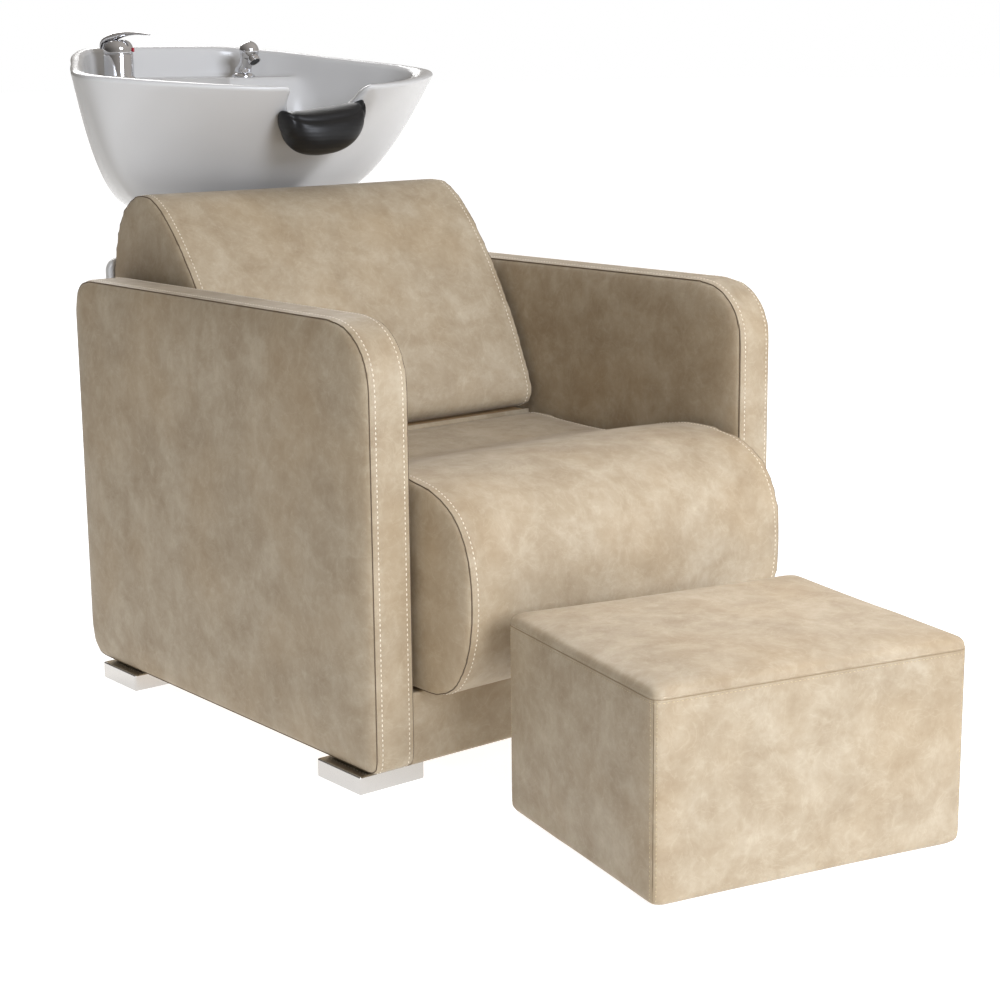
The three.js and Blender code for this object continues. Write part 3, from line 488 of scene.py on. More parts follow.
def joined(name, meshes):
    """One piece from several meshes, each with its own material."""
    shape = bmesh.new()
    materials = []
    for mesh, material in meshes:
        start = len(shape.faces)
        shape.from_mesh(mesh)
        shape.faces.ensure_lookup_table()
        if material not in materials:
            materials.append(material)
        for face in shape.faces[start:]:
            face.material_index = materials.index(material)
    bmesh.ops.recalc_face_normals(shape, faces=shape.faces)
    made = bpy.data.meshes.new(name)
    shape.to_mesh(made)
    shape.free()
    return place_piece(name, made, *materials)


def stitch_tree():
    """Geometry nodes: a row of thread stitches along a line, with named sizes."""
    tree = bpy.data.node_groups.new("stitch_row", "GeometryNodeTree")
    face = tree.interface
    face.new_socket("Geometry", in_out="OUTPUT", socket_type="NodeSocketGeometry")
    face.new_socket("Geometry", in_out="INPUT", socket_type="NodeSocketGeometry")
    for size in ("Pitch", "Stitch Length", "Thread Diameter"):
        face.new_socket(size, in_out="INPUT", socket_type="NodeSocketFloat")
    face.new_socket("Thread", in_out="INPUT", socket_type="NodeSocketMaterial")
    given = add_node(tree, "NodeGroupInput").outputs
    line = add_node(tree, "GeometryNodeMeshToCurve", Mesh=given["Geometry"])
    spaced = add_node(
        tree, "GeometryNodeResampleCurve", {"mode": "LENGTH"}, Curve=line.outputs[0],
        Length=given["Pitch"])
    along = add_node(tree, "GeometryNodeInputTangent").outputs[0]
    turn = add_node(tree, "FunctionNodeAlignRotationToVector", {"axis": "X"}, Vector=along)
    bead = add_node(tree, "GeometryNodeMeshUVSphere", Segments=6, Rings=5, Radius=0.5)
    size = add_node(
        tree, "ShaderNodeCombineXYZ", X=given["Stitch Length"], Y=given["Thread Diameter"],
        Z=given["Thread Diameter"])
    stitch = add_node(
        tree, "GeometryNodeTransform", Geometry=bead.outputs["Mesh"], Scale=size.outputs[0])
    row = add_node(
        tree, "GeometryNodeInstanceOnPoints", Points=spaced.outputs[0],
        Instance=stitch.outputs[0], Rotation=turn.outputs[0])
    real = add_node(tree, "GeometryNodeRealizeInstances", Geometry=row.outputs[0])
    coloured = add_node(
        tree, "GeometryNodeSetMaterial", Geometry=real.outputs[0], Material=given["Thread"])
    add_node(tree, "NodeGroupOutput", Geometry=coloured.outputs[0])
    return tree


stitch_row = stitch_tree()


def stitches(name, rows, pitch=0.0064, length=0.0041, diameter=0.0016, material=thread):
    """Rows of stitches along closed lines."""
    mesh = bpy.data.meshes.new(name)
    spots, edges = [], []
    for row in rows:
        start, count = len(spots), len(row)
        spots.extend(row)
        edges.extend((start + k, start + (k + 1) % count) for k in range(count))
    mesh.from_pydata(spots, edges, [])
    piece = bpy.data.objects.new(name, mesh)
    scene.collection.objects.link(piece)
    modifier = piece.modifiers.new("stitches", "NODES")
    modifier.node_group = stitch_row
    values = {"Pitch": pitch, "Stitch Length": length, "Thread Diameter": diameter,
              "Thread": material}
    for item in stitch_row.interface.items_tree:
        if item.in_out == "INPUT" and item.name in values:
            modifier[item.identifier] = values[item.name]
    plain(piece)
    piece.data.shade_smooth()
    return piece


def sewn(label, piece, seams):
    """The seams of a cushion: a tube of painted shade in the seam's groove, the folded edge beside
    it and the top stitches.

    Each seam is a loop of points and the direction along the band, away from its panel.
    """
    parts, rows = [], []
    for loop, away in seams:
        # a thin dark tube lies in each seam's groove; its dark colour is painted shade
        parts.append((tube(laid_on(piece, loop, -0.0001), 0.0008), seam_shade_paint))
        parts.append((tube(laid_on(piece, loop + away * 0.0022, 0.0006), 0.0013), leather))
        rows.append(laid_on(piece, loop + away * 0.010, 0.0001))
    ridge = joined(label + "_seams", parts)
    row = stitches(label + "_stitches", rows)
    for part in (ridge, row):
        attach(part, "chair")


def cushion(node, label, sink, swell, stiff, voxel):
    """A cushion with a sewn panel at each X end, in the place of a frame piece."""
    low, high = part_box(node)
    outline = evenly(end_outline(node), 0.004)
    for _ in range(12):
        outline = (np.roll(outline, 1, 0) + 2 * outline + np.roll(outline, -1, 0)) / 4
    outline = shrunk(outline, sink[1])
    left, right = outline.copy(), outline.copy()
    left[:, 0], right[:, 0] = low[0] + sink[0], high[0] - sink[0]
    piece = stuffed(label, left, right, swell, stiff, voxel, [left, right])
    away = np.array((1.0, 0.0, 0.0))
    seams = [(evenly(left, 0.004), away), (evenly(right, 0.004), -away)]
    return piece, seams


def upholster(node, label, **sizes):
    """Makes a cushion with its seams, and puts it in the place of its frame piece."""
    piece, seams = cushion(node, label, **sizes)
    sewn(label, piece, seams)
    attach(piece, "chair")
    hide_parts(node)
    return piece


ARM_SIZES = {"sink": (0.0065, 0.002), "swell": (0.0040, 0.0016), "stiff": 0.013,
             "voxel": 0.0065}
for arm in ("left", "right"):
    upholster(f"arm_cover_{arm}", f"{arm}_arm", **ARM_SIZES)

# ---- Seat --------------------------------------------------------------------------------------
# One foam block that rolls down over its front, on the seat board. Its panels and band are sewn
# as the arms' are, and foam pressure rounds it between the seams.
SEAT_SIZES = {"sink": (0.0065, 0.003), "swell": (0.0040, 0.0042), "stiff": 0.013, "voxel": 0.007}
upholster("seat_cushion", "seat", **SEAT_SIZES)

# ---- Backrest ----------------------------------------------------------------------------------
# A foam wedge with a full round head, on a shelf between the arms, sewn like the seat.
upholster("backrest_cushion", "backrest", **SEAT_SIZES)

# the cover's hem comes down over the shelf's front edge and is stapled under it
shelf_low, shelf_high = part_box("backrest_shelf")
hem_mesh = bpy.data.meshes.new("backrest_hem")
hem = bmesh.new()
bmesh.ops.create_cube(hem, size=1, matrix=Matrix.Translation((
    0, shelf_low[1] - 0.0012, (shelf_low[2] + shelf_high[2]) / 2 + 0.001)) @ Matrix.Diagonal((
        (shelf_high[0] - shelf_low[0]) - 0.002, 0.0016, shelf_high[2] - shelf_low[2] + 0.003, 1)))
hem.to_mesh(hem_mesh)
hem.free()
backrest_hem = place_piece("backrest_hem", hem_mesh, leather)
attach(backrest_hem, "chair")

# ---- Frame pieces that are boards, blocks, tubes and turned parts -----------------------------
# They keep the frame's shape. Each is cut or cast with its edges broken, so each gets a small
# round along every sharp edge.


def eased(node, material, edge=0.001, segments=2):
    """A frame piece with its sharp edges rounded, in its own place."""
    shape = merged(node)
    bmesh.ops.dissolve_limit(
        shape, angle_limit=math.radians(1), verts=shape.verts, edges=shape.edges)
    mesh = bpy.data.meshes.new(node + "_finished")
    shape.to_mesh(mesh)
    shape.free()
    piece = place_piece(node + "_finished", mesh, material)
    bevel = piece.modifiers.new("broken_edges", "BEVEL")
    bevel.width, bevel.segments = edge, segments
    bevel.limit_method, bevel.angle_limit = "ANGLE", math.radians(40)
    bevel.use_clamp_overlap = True
    weighted = piece.modifiers.new("flat_faces", "WEIGHTED_NORMAL")
    weighted.keep_sharp = True
    plain(piece)
    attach(piece, nodes[node]["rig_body"])
    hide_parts(node)
    return piece


# ---- Front apron -------------------------------------------------------------------------------
# A thin board under the seat's roll, between the arms, wrapped in the same faux leather.
eased("front_apron", leather, edge=0.0035, segments=4)

# ---- Plywood frame -----------------------------------------------------------------------------
# Birch plywood boards, sanded and left bare, hidden by the upholstery from most sides.


def birch_plywood():
    """Rotary-cut birch: pale wavy figure along X, and 1.5 mm layers that show on the edges."""
    material, tree, place = new_material("birch_plywood")
    stretched = add_node(
        tree, "ShaderNodeMapping", Vector=place, Scale=(2.0, 14.0, 14.0)).outputs[0]
    figure = add_node(
        tree, "ShaderNodeTexNoise", Vector=stretched, Scale=5.0, Detail=6.0, Distortion=1.5)
    layers = add_node(
        tree, "ShaderNodeTexWave", {"bands_direction": "Z"}, Vector=place, Scale=105.0,
        Distortion=0.4)
    face_tone = add_node(
        tree, "ShaderNodeMix", {"data_type": "RGBA"}, _0=figure.outputs[0],
        _6=linear("#c19c6b"), _7=linear("#dcc096"))
    layer_share = add_node(
        tree, "ShaderNodeMapRange", Value=layers.outputs["Fac"], To_Min=0.0, To_Max=0.3)
    tone = add_node(
        tree, "ShaderNodeMix", {"data_type": "RGBA"}, _0=layer_share.outputs[0],
        _6=face_tone.outputs[2], _7=linear("#8d6a41"))
    fibres = add_node(
        tree, "ShaderNodeBump", Strength=0.15, Distance=0.0004, Height=figure.outputs[0])
    surface(tree, Base_Color=tone.outputs[2], Roughness=0.72, Normal=fibres.outputs[0])
    return material


plywood = birch_plywood()
boards = ["seat_board", "backrest_shelf", "rear_board", "footstool_board"]
boards += [f"{part}_{side}" for part in ("arm_board", "base_rail", "backrest_gusset")
           for side in ("left", "right")]
for board in boards:
    eased(board, plywood, edge=0.0012)

# ---- Feet --------------------------------------------------------------------------------------
# Four low blocks under the arms: folded steel, polished and chrome plated.


def chrome_plate(name, roughness, tint):
    """Bright chrome over polished steel: a mirror with faint hand-polishing waves and smears."""
    material, tree, place = new_material(name)
    smear = add_node(tree, "ShaderNodeTexNoise", Vector=place, Scale=60.0, Detail=4.0)
    haze = add_node(
        tree, "ShaderNodeMapRange", Value=smear.outputs[0], From_Min=0.4, From_Max=0.7,
        To_Min=roughness, To_Max=roughness * 1.8)
    waves = add_node(tree, "ShaderNodeTexNoise", Vector=place, Scale=140.0, Detail=1.0)
    polish = add_node(
        tree, "ShaderNodeBump", Strength=0.06, Distance=0.0004, Height=waves.outputs[0])
    surface(tree, Base_Color=linear(tint), Metallic=1.0, Roughness=haze.outputs[0],
            Normal=polish.outputs[0])
    return material


foot_chrome = chrome_plate("chrome_plated_steel", 0.14, "#c9c6c2")
for foot in ("front_left", "front_right", "rear_left", "rear_right"):
    eased(f"foot_{foot}", foot_chrome, edge=0.0025, segments=4)

# ---- Footstool ---------------------------------------------------------------------------------
# A loose foam cube on a plywood frame, covered in the same faux leather: a crowned lid sewn to
# four sides, with seams down the corners and a thread of the leather's own colour.
low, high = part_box("footstool_cover")
plan = evenly(end_outline("footstool_cover", axis=2), 0.006)
middle = Vector(plan.mean(0))
middle[2] = 0.0
# the stretch of the outline that goes furthest to the right lies on a straight side
stretch = 12
edge_run = max(
    (plan[k] - plan[k - stretch] for k in range(len(plan))
     if plan[k][0] > plan[k - stretch][0]),
    key=lambda run: run[0])
straight = Matrix.Rotation(-math.atan2(edge_run[1], edge_run[0]), 4, "Z")
plan = np.array([straight @ (Vector(point) - middle) for point in plan])
half_x, half_y = np.abs(plan[:, :2]).max(0)
base, lid = plan.copy(), plan.copy()
for outline, height in ((base, low[2] + 0.001), (lid, high[2] - 0.004)):
    outline[:, 0] *= 1 - 0.004 / half_x
    outline[:, 1] *= 1 - 0.004 / half_y
    outline[:, 2] = height
tan_thread = waxed_thread("tan_polyester_thread", "#a8946f", "#c2b08c")
# the footstool's seams get a paler tube of painted shade in their grooves
tan_seam_shade_paint = paint_seam_shade("tan_seam_painted_shade", "#857458", "#9b896c")
uprights = []
for across, along in ((-1, -1), (1, -1), (1, 1), (-1, 1)):
    k = int(np.argmax(lid[:, 0] * across + lid[:, 1] * along))
    uprights.append(np.linspace(base[k], lid[k] - (0, 0, 0.012), 60))
footstool = stuffed(
    "footstool_cushion", lid, base, (0.0045, 0.0036), 0.008, 0.006, [lid, base, *uprights])
lid_seam = evenly(lid, 0.004)
lid_seam[:, 2] -= 0.0125
folds = [(tube(laid_on(footstool, lid_seam, 0.0001), 0.0006), tan_seam_shade_paint),
         (tube(laid_on(footstool, lid_seam + (0, 0, 0.002), 0.0008), 0.0014), leather)]
rows = [laid_on(footstool, lid_seam + (0, 0, -0.0035), 0.0001)]
for upright in uprights:
    # the row goes down one side of the corner's seam and comes back up the other
    out = np.sign(upright[0][:2])
    first, second = upright.copy(), upright[::-1].copy()
    first[:, 0] -= out[0] * 0.005
    second[:, 1] -= out[1] * 0.005
    rows.append(laid_on(footstool, np.vstack([first, second]), 0.0001))
    # a tube of the same painted shade runs down each corner seam
    folds.append((tube(laid_on(footstool, np.vstack([upright, upright[::-1] + (0, 0, 1e-4)]),
                               0.0002), 0.0005), tan_seam_shade_paint))
seams_of_stool = joined("footstool_seams", folds)
stool_stitches = stitches(
    "footstool_stitches", rows, pitch=0.0055, length=0.004, diameter=0.001,
    material=tan_thread)
for piece in (footstool, seams_of_stool, stool_stitches):
    # everything was made square to the axes, so it is turned back to how the stool stands
    piece.data.transform(Matrix.Translation(middle) @ straight.inverted())
    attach(piece, "footstool")
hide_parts("footstool_cover")
eased("footstool_frame", plywood)


def black_plastic():
    """Injection-moulded black nylon: near black, with a fine matt spark texture."""
    material, tree, place = new_material("moulded_black_nylon")
    spark = add_node(tree, "ShaderNodeTexNoise", Vector=place, Scale=900.0, Detail=2.0)
    tone = add_node(
        tree, "ShaderNodeMix", {"data_type": "RGBA"}, _0=spark.outputs[0],
        _6=linear("#17181a"), _7=linear("#2b2c2e"))
    texture = add_node(
        tree, "ShaderNodeBump", Strength=0.2, Distance=0.0002, Height=spark.outputs[0])
    surface(tree, Base_Color=tone.outputs[2], Roughness=0.5, Normal=texture.outputs[0])
    return material


nylon = black_plastic()
for glide in ("front_left", "front_right", "rear_left", "rear_right"):
    eased(f"glide_{glide}", nylon, edge=0.0015)

# ---- Basin -------------------------------------------------------------------------------------
# One casting of fireclay, glazed white and fired: a bowl whose rim widens from the neck notch to
# the shoulders and closes to a level tap deck at the back. It tilts on the column.
low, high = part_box("basin")
RIM_FRONT, RIM_SLOPE = 0.860, 0.119          # rim's height at the front, and its rise to the back
FOOT_FRONT, FOOT_BACK = chair_front + 0.760, chair_front + 0.990
FOOT_SHARE = 0.4                             # width of the underside over the rim's
CLAY, BOWL_FLOOR, BOWL_FALL = 0.017, 0.022, 0.005
DECK_TOP, DECK_START, DECK_END = 0.870, chair_front + 0.900, chair_front + 0.948
NOTCH_HALF, NOTCH_BOTTOM, NOTCH_RADIUS, NOTCH_CORNER = 0.068, 0.816, 0.030, 0.0115
LIP_RADIUS = 0.0085
DRAIN = np.array((0.0, chair_front + 0.835))
DRAIN_RADIUS = 0.022
RIM_PLAN = [                                 # half of the rim, as shares of half width and depth
    (0, 0), (0.23, 0.006), (0.46, 0.05), (0.69, 0.135), (0.89, 0.24), (1, 0.33),
    (0.995, 0.42), (0.905, 0.54), (0.775, 0.685), (0.635, 0.84), (0.47, 0.955),
    (0.24, 0.993), (0, 1)]


def smoothstep(value, start, end):
    share = np.clip((value - start) / (end - start), 0, 1)
    return share * share * (3 - 2 * share)


def rim_line():
    """The rim in plan as a smooth closed curve from the middle of its front, to the right first."""
    half = [(u * high[0], low[1] + v * (high[1] - low[1])) for u, v in RIM_PLAN]
    points = np.array(half + [(-x, y) for x, y in half[-2:0:-1]])
    curve = []
    for k in range(len(points)):
        a, b, c, d = (points[(k + j) % len(points)] for j in (-1, 0, 1, 2))
        ab, bc, cd = (np.linalg.norm(q - p) ** 0.5 for p, q in ((a, b), (b, c), (c, d)))
        leave = ((b - a) / ab - (c - a) / (ab + bc) + (c - b) / bc) * bc
        arrive = ((c - b) / bc - (d - b) / (bc + cd) + (d - c) / cd) * bc
        for t in np.arange(60) / 60:
            curve.append(
                b + leave * t + (3 * (c - b) - 2 * leave - arrive) * t ** 2
                + (2 * (b - c) + leave + arrive) * t ** 3)
    return np.array(curve)


rim = rim_line()
rim = np.vstack([rim, rim[:1]])
rim_along = np.concatenate([[0], np.cumsum(np.linalg.norm(np.diff(rim, axis=0), axis=1))])
RIM_LENGTH = rim_along[-1]


def rim_spot(along):
    """Plan position of the rim at a distance from the middle of its front."""
    along = np.mod(along, RIM_LENGTH)
    return np.stack([np.interp(along, rim_along, rim[:, k]) for k in (0, 1)], -1)


def wall(along, z, inset, foot, deck=False):
    """Points of the basin's wall at a distance along the rim and a height, moved inwards."""
    spot = rim_spot(along)
    top = RIM_FRONT + RIM_SLOPE * (spot[..., 1] - low[1])
    share = np.clip((z - foot) / (top - foot), 0, 1.2)
    power = (1 - 0.60 * smoothstep(spot[..., 1], low[1], low[1] + 0.2)
             - 0.12 * smoothstep(spot[..., 1], low[1] + 0.188, low[1] + 0.308))
    spread = (share ** power)[..., None]
    depth = (spot[..., 1] - low[1]) / (high[1] - low[1])
    under = np.stack(
        [spot[..., 0] * FOOT_SHARE, FOOT_FRONT + depth * (FOOT_BACK - FOOT_FRONT)], -1)
    flat = under + spread * (spot - under)
    middle = np.array((0.0, (FOOT_FRONT + FOOT_BACK) / 2))
    away = np.linalg.norm(flat - middle, axis=-1)
    flat = middle + (flat - middle) * np.maximum(0, 1 - inset / away)[..., None]
    height = np.broadcast_to(z, flat.shape[:-1])
    if deck:
        rise = smoothstep(flat[..., 1], DECK_START, DECK_END)
        over = height - DECK_TOP
        cove = DECK_TOP + (over + np.sqrt(over ** 2 + 0.014 ** 2)) / 2
        height = height + rise * (cove - height)
    return np.concatenate([flat, height[..., None]], -1)


def edge_line():
    """The basin's top edge, with the neck notch, as distances along the rim and heights."""
    def rim_height(along):
        return RIM_FRONT + RIM_SLOPE * (rim_spot(along)[..., 1] - low[1])

    def arc(x, z, radius, start, end, count=14):
        turn = np.radians(np.linspace(start, end, count))
        return np.stack([x + radius * np.cos(turn), z + radius * np.sin(turn)], -1)

    corner_top = rim_height(np.array(NOTCH_HALF + NOTCH_CORNER))
    half = np.vstack([
        np.stack([np.linspace(0, NOTCH_HALF - NOTCH_RADIUS, 12), np.full(12, NOTCH_BOTTOM)], -1),
        arc(NOTCH_HALF - NOTCH_RADIUS, NOTCH_BOTTOM + NOTCH_RADIUS, NOTCH_RADIUS, -90, 0)[1:],
        arc(NOTCH_HALF + NOTCH_CORNER, corner_top - NOTCH_CORNER, NOTCH_CORNER, 180, 90)])
    long = np.linspace(NOTCH_HALF + NOTCH_CORNER, RIM_LENGTH / 2, 260)[1:]
    half = np.vstack([half, np.stack([long, rim_height(long)], -1)])
    steps = np.concatenate([[0], np.cumsum(np.linalg.norm(np.diff(half, axis=0), axis=1))])
    near = np.arange(0, 0.15, 0.0025)
    stations = np.concatenate([near, np.linspace(0.15, steps[-1], 150)])
    right = np.stack([np.interp(stations, steps, half[:, k]) for k in (0, 1)], -1)
    left = right[-2:0:-1] * (-1, 1) + (RIM_LENGTH, 0)
    return np.vstack([right, left])


def basin_mesh():
    """The casting as one closed skin: up the outside, over the lip, down the bowl, to the waste."""
    edge = edge_line()
    ahead, behind = np.roll(edge, -1, 0), np.roll(edge, 1, 0)
    ahead[-1, 0] += RIM_LENGTH
    behind[0, 0] -= RIM_LENGTH
    run = ahead - behind
    run /= np.linalg.norm(run, axis=1)[:, None]
    inward = np.stack([run[:, 1], -run[:, 0]], -1)
    inward = np.where(inward[:, 1:] > 0.001, -inward, inward)
    # columns fan out from the notch's sides, so that they do not cross below it
    signed = np.where(edge[:, 0] > RIM_LENGTH / 2, edge[:, 0] - RIM_LENGTH, edge[:, 0])
    raised = np.clip(edge[:, 1] - NOTCH_BOTTOM, 0, 0.05)
    fan = 0.7 * raised * np.exp(-np.maximum(0, np.abs(signed) - NOTCH_HALF) / 0.09)
    feet = signed + np.sign(signed) * fan
    wide = 0.010 * smoothstep(np.abs(signed), NOTCH_HALF, NOTCH_HALF + 0.05)
    wide *= 1 - 0.75 * smoothstep(np.abs(signed), 0.38, 0.6)
    inner_foot = low[2] + BOWL_FLOOR + BOWL_FALL
    rows = []

    def both_sides(depth):
        spot = np.stack([signed, edge[:, 1]], -1) + inward * depth
        return spot[:, 0], spot[:, 1]

    lip_along, lip_z = both_sides(LIP_RADIUS)
    outer_shares = (np.arange(41) / 40) ** 1.8
    for share in outer_shares:
        blend = share ** 0.8
        along = feet + (lip_along - feet) * blend
        rows.append(wall(along, low[2] + (lip_z - low[2]) * share, 0.0, low[2]))
    for turn in np.linspace(0, math.pi, 15)[1:-1]:
        along, z = both_sides(LIP_RADIUS * (1 - math.sin(turn)))
        across = ((1 - math.cos(turn)) / 2)
        outside = wall(along, z, 0.0, low[2])
        inside = wall(along, z, CLAY + wide, inner_foot, deck=True)
        rows.append(outside + (inside - outside) * across)
    for share in outer_shares[::-1]:
        blend = share ** 0.8
        along = feet + (lip_along - feet) * blend
        thick = CLAY + wide * smoothstep(share, 0.62, 1.0)
        z = inner_foot + (lip_z - inner_foot) * share
        rows.append(wall(along, z, thick, inner_foot, deck=True))
    bowl_ring, foot_ring = rows[-1], rows[0]

    def ring_round_drain(ring, radius, z):
        aim = ring[:, :2] - DRAIN
        aim /= np.linalg.norm(aim, axis=1)[:, None]
        return np.column_stack([DRAIN + aim * radius, np.full(len(ring), z)])

    floor_z = low[2] + BOWL_FLOOR
    seat = ring_round_drain(bowl_ring, DRAIN_RADIUS + 0.014, floor_z)
    for share in (0.25, 0.5, 0.75, 1.0):
        rows.append(bowl_ring + (seat - bowl_ring) * share)
    rows.append(ring_round_drain(bowl_ring, DRAIN_RADIUS, floor_z))
    under = ring_round_drain(foot_ring, DRAIN_RADIUS, low[2])
    rows.append(under)
    for share in (0.25, 0.5, 0.75):
        rows.append(under + (foot_ring - under) * share)
    faces = ring_faces(len(rows), len(edge), closed=True)
    return outward_mesh("basin_casting", np.vstack(rows), faces)


def white_glaze():
    """Glazed fireclay: a clear gloss over white, with the slow ripple of fired glaze.

    The white is a little warmer in places, and the ripple bends reflections slightly.
    """
    material, tree, place = new_material("white_glazed_fireclay")
    warm = add_node(tree, "ShaderNodeTexNoise", Vector=place, Scale=5.0, Detail=2.0)
    tone = add_node(
        tree, "ShaderNodeMix", {"data_type": "RGBA"}, _0=warm.outputs[0],
        _6=linear("#b7b6b4"), _7=linear("#c1c0be"))
    ripple = add_node(tree, "ShaderNodeTexNoise", Vector=place, Scale=16.0, Detail=2.0)
    wavy = add_node(
        tree, "ShaderNodeBump", Strength=0.12, Distance=0.001, Height=ripple.outputs[0])
    surface(tree, Base_Color=tone.outputs[2], Roughness=0.2, Normal=wavy.outputs[0], IOR=1.42)
    return material


glaze = white_glaze()
basin = place_piece("basin_casting", basin_mesh(), glaze)
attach(basin, "basin")
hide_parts("basin")

# ---- Neck rest ---------------------------------------------------------------------------------
# A black gel-filled rubber saddle that is pushed over the notch: a full roll outside, with its
# two ends flared into thin lips that hook round the notch's corners.
low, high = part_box("neck_rest")


def neck_rest_mesh():
    """A curved roll along X whose ends narrow to a neck and flare to a lip."""
    half = (high[0] - low[0]) / 2 * 0.95
    centre_y = (low[1] + high[1]) / 2
    reach = (high[1] - low[1]) / 2
    stations, around = 72, 72
    spots = []
    for k in range(1, stations):
        share = math.sin(math.pi * (k / stations - 0.5))
        full = (1 - abs(share) ** 2.6) ** 0.5
        neck = math.exp(-((abs(share) - 0.84) / 0.05) ** 2)
        lift = 0.010 * share ** 2 + 0.022 * abs(share) ** 5
        for j in range(around):
            angle = 2 * math.pi * j / around
            cos, sin = math.cos(angle), math.sin(angle)
            round_y = math.copysign(abs(cos) ** 0.9, cos)
            round_z = math.copysign(abs(sin) ** 0.92, sin)
            thin = 1 - 0.10 * neck
            y = centre_y + reach * full * thin * round_y
            z = NOTCH_BOTTOM - 0.018 + lift + 0.034 * full * thin * round_z
            groove = 0.0042 * math.exp(-((angle - math.radians(146)) / 0.16) ** 2)
            # it sits a little askew, low on the left
            askew = 0.10 * share * half - 0.004
            spots.append((
                share * half, y - groove * full * cos, z - groove * full * sin + askew))
    faces = ring_faces(stations - 1, around, capped=True)
    return outward_mesh("neck_rest_gel", spots, faces)


def black_gel_rubber():
    """Soft moulded polyurethane: black with a satin skin and faint flow lines along it."""
    material, tree, place = new_material("black_gel_rubber")
    ribs = add_node(
        tree, "ShaderNodeTexWave", {"bands_direction": "Z"}, Vector=place, Scale=52.0,
        Distortion=1.4, Detail=2.0)
    skin = add_node(tree, "ShaderNodeTexNoise", Vector=place, Scale=240.0, Detail=4.0)
    tone = add_node(
        tree, "ShaderNodeMix", {"data_type": "RGBA"}, _0=skin.outputs[0],
        _6=linear("#080808"), _7=linear("#131314"))
    moulded = add_node(
        tree, "ShaderNodeBump", Strength=0.16, Distance=0.0007, Height=ribs.outputs["Fac"])
    fine = add_node(
        tree, "ShaderNodeBump", Strength=0.2, Distance=0.0003, Height=skin.outputs[0],
        Normal=moulded.outputs[0])
    satin = add_node(
        tree, "ShaderNodeMapRange", Value=skin.outputs[0], To_Min=0.38, To_Max=0.55)
    surface(tree, Base_Color=tone.outputs[2], Roughness=satin.outputs[0],
            Normal=fine.outputs[0], IOR=1.4)
    return material


rubber = black_gel_rubber()
neck_pad = place_piece("neck_rest_gel", neck_rest_mesh(), rubber)
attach(neck_pad, "basin")
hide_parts("neck_rest")

# ---- Waste -------------------------------------------------------------------------------------
# A chrome flange with a lift-out hair strainer, clamped to the bowl by a nut, over a bottle trap.
tap_chrome = chrome_plate("bright_chrome_plated_brass", 0.05, "#d2d2d4")
eased("waste_flange", tap_chrome, edge=0.0008)
eased("hair_strainer", tap_chrome, edge=0.0006)
eased("waste_nut", nylon, edge=0.001)


def white_abs():
    """Moulded white ABS with a fine grain: soft highlights, and faint warmer clouds with age."""
    material, tree, place = new_material("moulded_white_abs")
    aged = add_node(tree, "ShaderNodeTexNoise", Vector=place, Scale=4.0, Detail=3.0)
    grain = add_node(tree, "ShaderNodeTexNoise", Vector=place, Scale=700.0, Detail=2.0)
    tone = add_node(
        tree, "ShaderNodeMix", {"data_type": "RGBA"}, _0=aged.outputs[0],
        _6=linear("#c9cac9"), _7=linear("#d8d8d6"))
    texture = add_node(
        tree, "ShaderNodeBump", Strength=0.25, Distance=0.0003, Height=grain.outputs[0])
    surface(tree, Base_Color=tone.outputs[2], Roughness=0.42, Normal=texture.outputs[0],
            IOR=1.54)
    return material


abs_plastic = white_abs()
eased("waste_trap", abs_plastic, edge=0.001)

# ---- Mixer tap ---------------------------------------------------------------------------------
# A single-lever mixer in chrome-plated brass: a turned body on the deck, a cap that swings with
# the water's temperature, and a cast lever that arches over the cap.


def turned_mesh(name, profile, centre, sides=64):
    """A profile of (radius, height) pairs, turned about an upright axis through centre."""
    turn = np.arange(sides) * 2 * math.pi / sides
    rings = [
        np.stack([centre[0] + r * np.cos(turn), centre[1] + r * np.sin(turn),
                  np.full(sides, z)], -1) for r, z in profile]
    spots = np.vstack([*rings, [(centre[0], centre[1], profile[0][1])],
                       [(centre[0], centre[1], profile[-1][1])]])
    bottom, top = len(spots) - 2, len(spots) - 1
    faces = ring_faces(len(profile), sides)
    last = (len(profile) - 1) * sides
    faces += [(bottom, (j + 1) % sides, j) for j in range(sides)]
    faces += [(top, last + j, last + (j + 1) % sides) for j in range(sides)]
    mesh = bpy.data.meshes.new(name)
    mesh.from_pydata(spots, [], faces)
    return mesh


def rounded(profile, radius, steps=4):
    """A profile with each inner point replaced by a small arc."""
    soft = [profile[0]]
    for before, here, after in zip(profile, profile[1:], profile[2:]):
        here = Vector(here)
        back, ahead = Vector(before) - here, Vector(after) - here
        cut = min(radius, back.length * 0.45, ahead.length * 0.45)
        start, end = here + back.normalized() * cut, here + ahead.normalized() * cut
        for k in range(steps + 1):
            t = k / steps
            soft.append(tuple(start.lerp(here, t).lerp(here.lerp(end, t), t)))
    soft.append(profile[-1])
    return soft


def add_tap_piece(name, mesh, node, body, material=tap_chrome):
    """Puts a mesh in the place of a frame piece of a tap, creased where it turns sharply."""
    piece = place_piece(name, mesh, material)
    piece.data.set_sharp_from_angle(angle=math.radians(50))
    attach(piece, body)
    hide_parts(node)
    return piece


low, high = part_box("mixer_body")
mixer_at = (low + high) / 2
flange = (high[0] - low[0]) / 2
barrel = flange - 0.0025
base, top = DECK_TOP, high[2]
mixer_profile = [
    (0.016, low[2]), (0.016, base), (flange, base), (flange, base + 0.003),
    (barrel, base + 0.0055), (barrel, top - 0.004), (barrel - 0.0012, top - 0.0035),
    (barrel - 0.0012, top - 0.002), (barrel, top - 0.0015), (barrel, top)]
add_tap_piece(
    "mixer_barrel", turned_mesh("mixer_barrel", rounded(mixer_profile, 0.0007), mixer_at),
    "mixer_body", "basin")

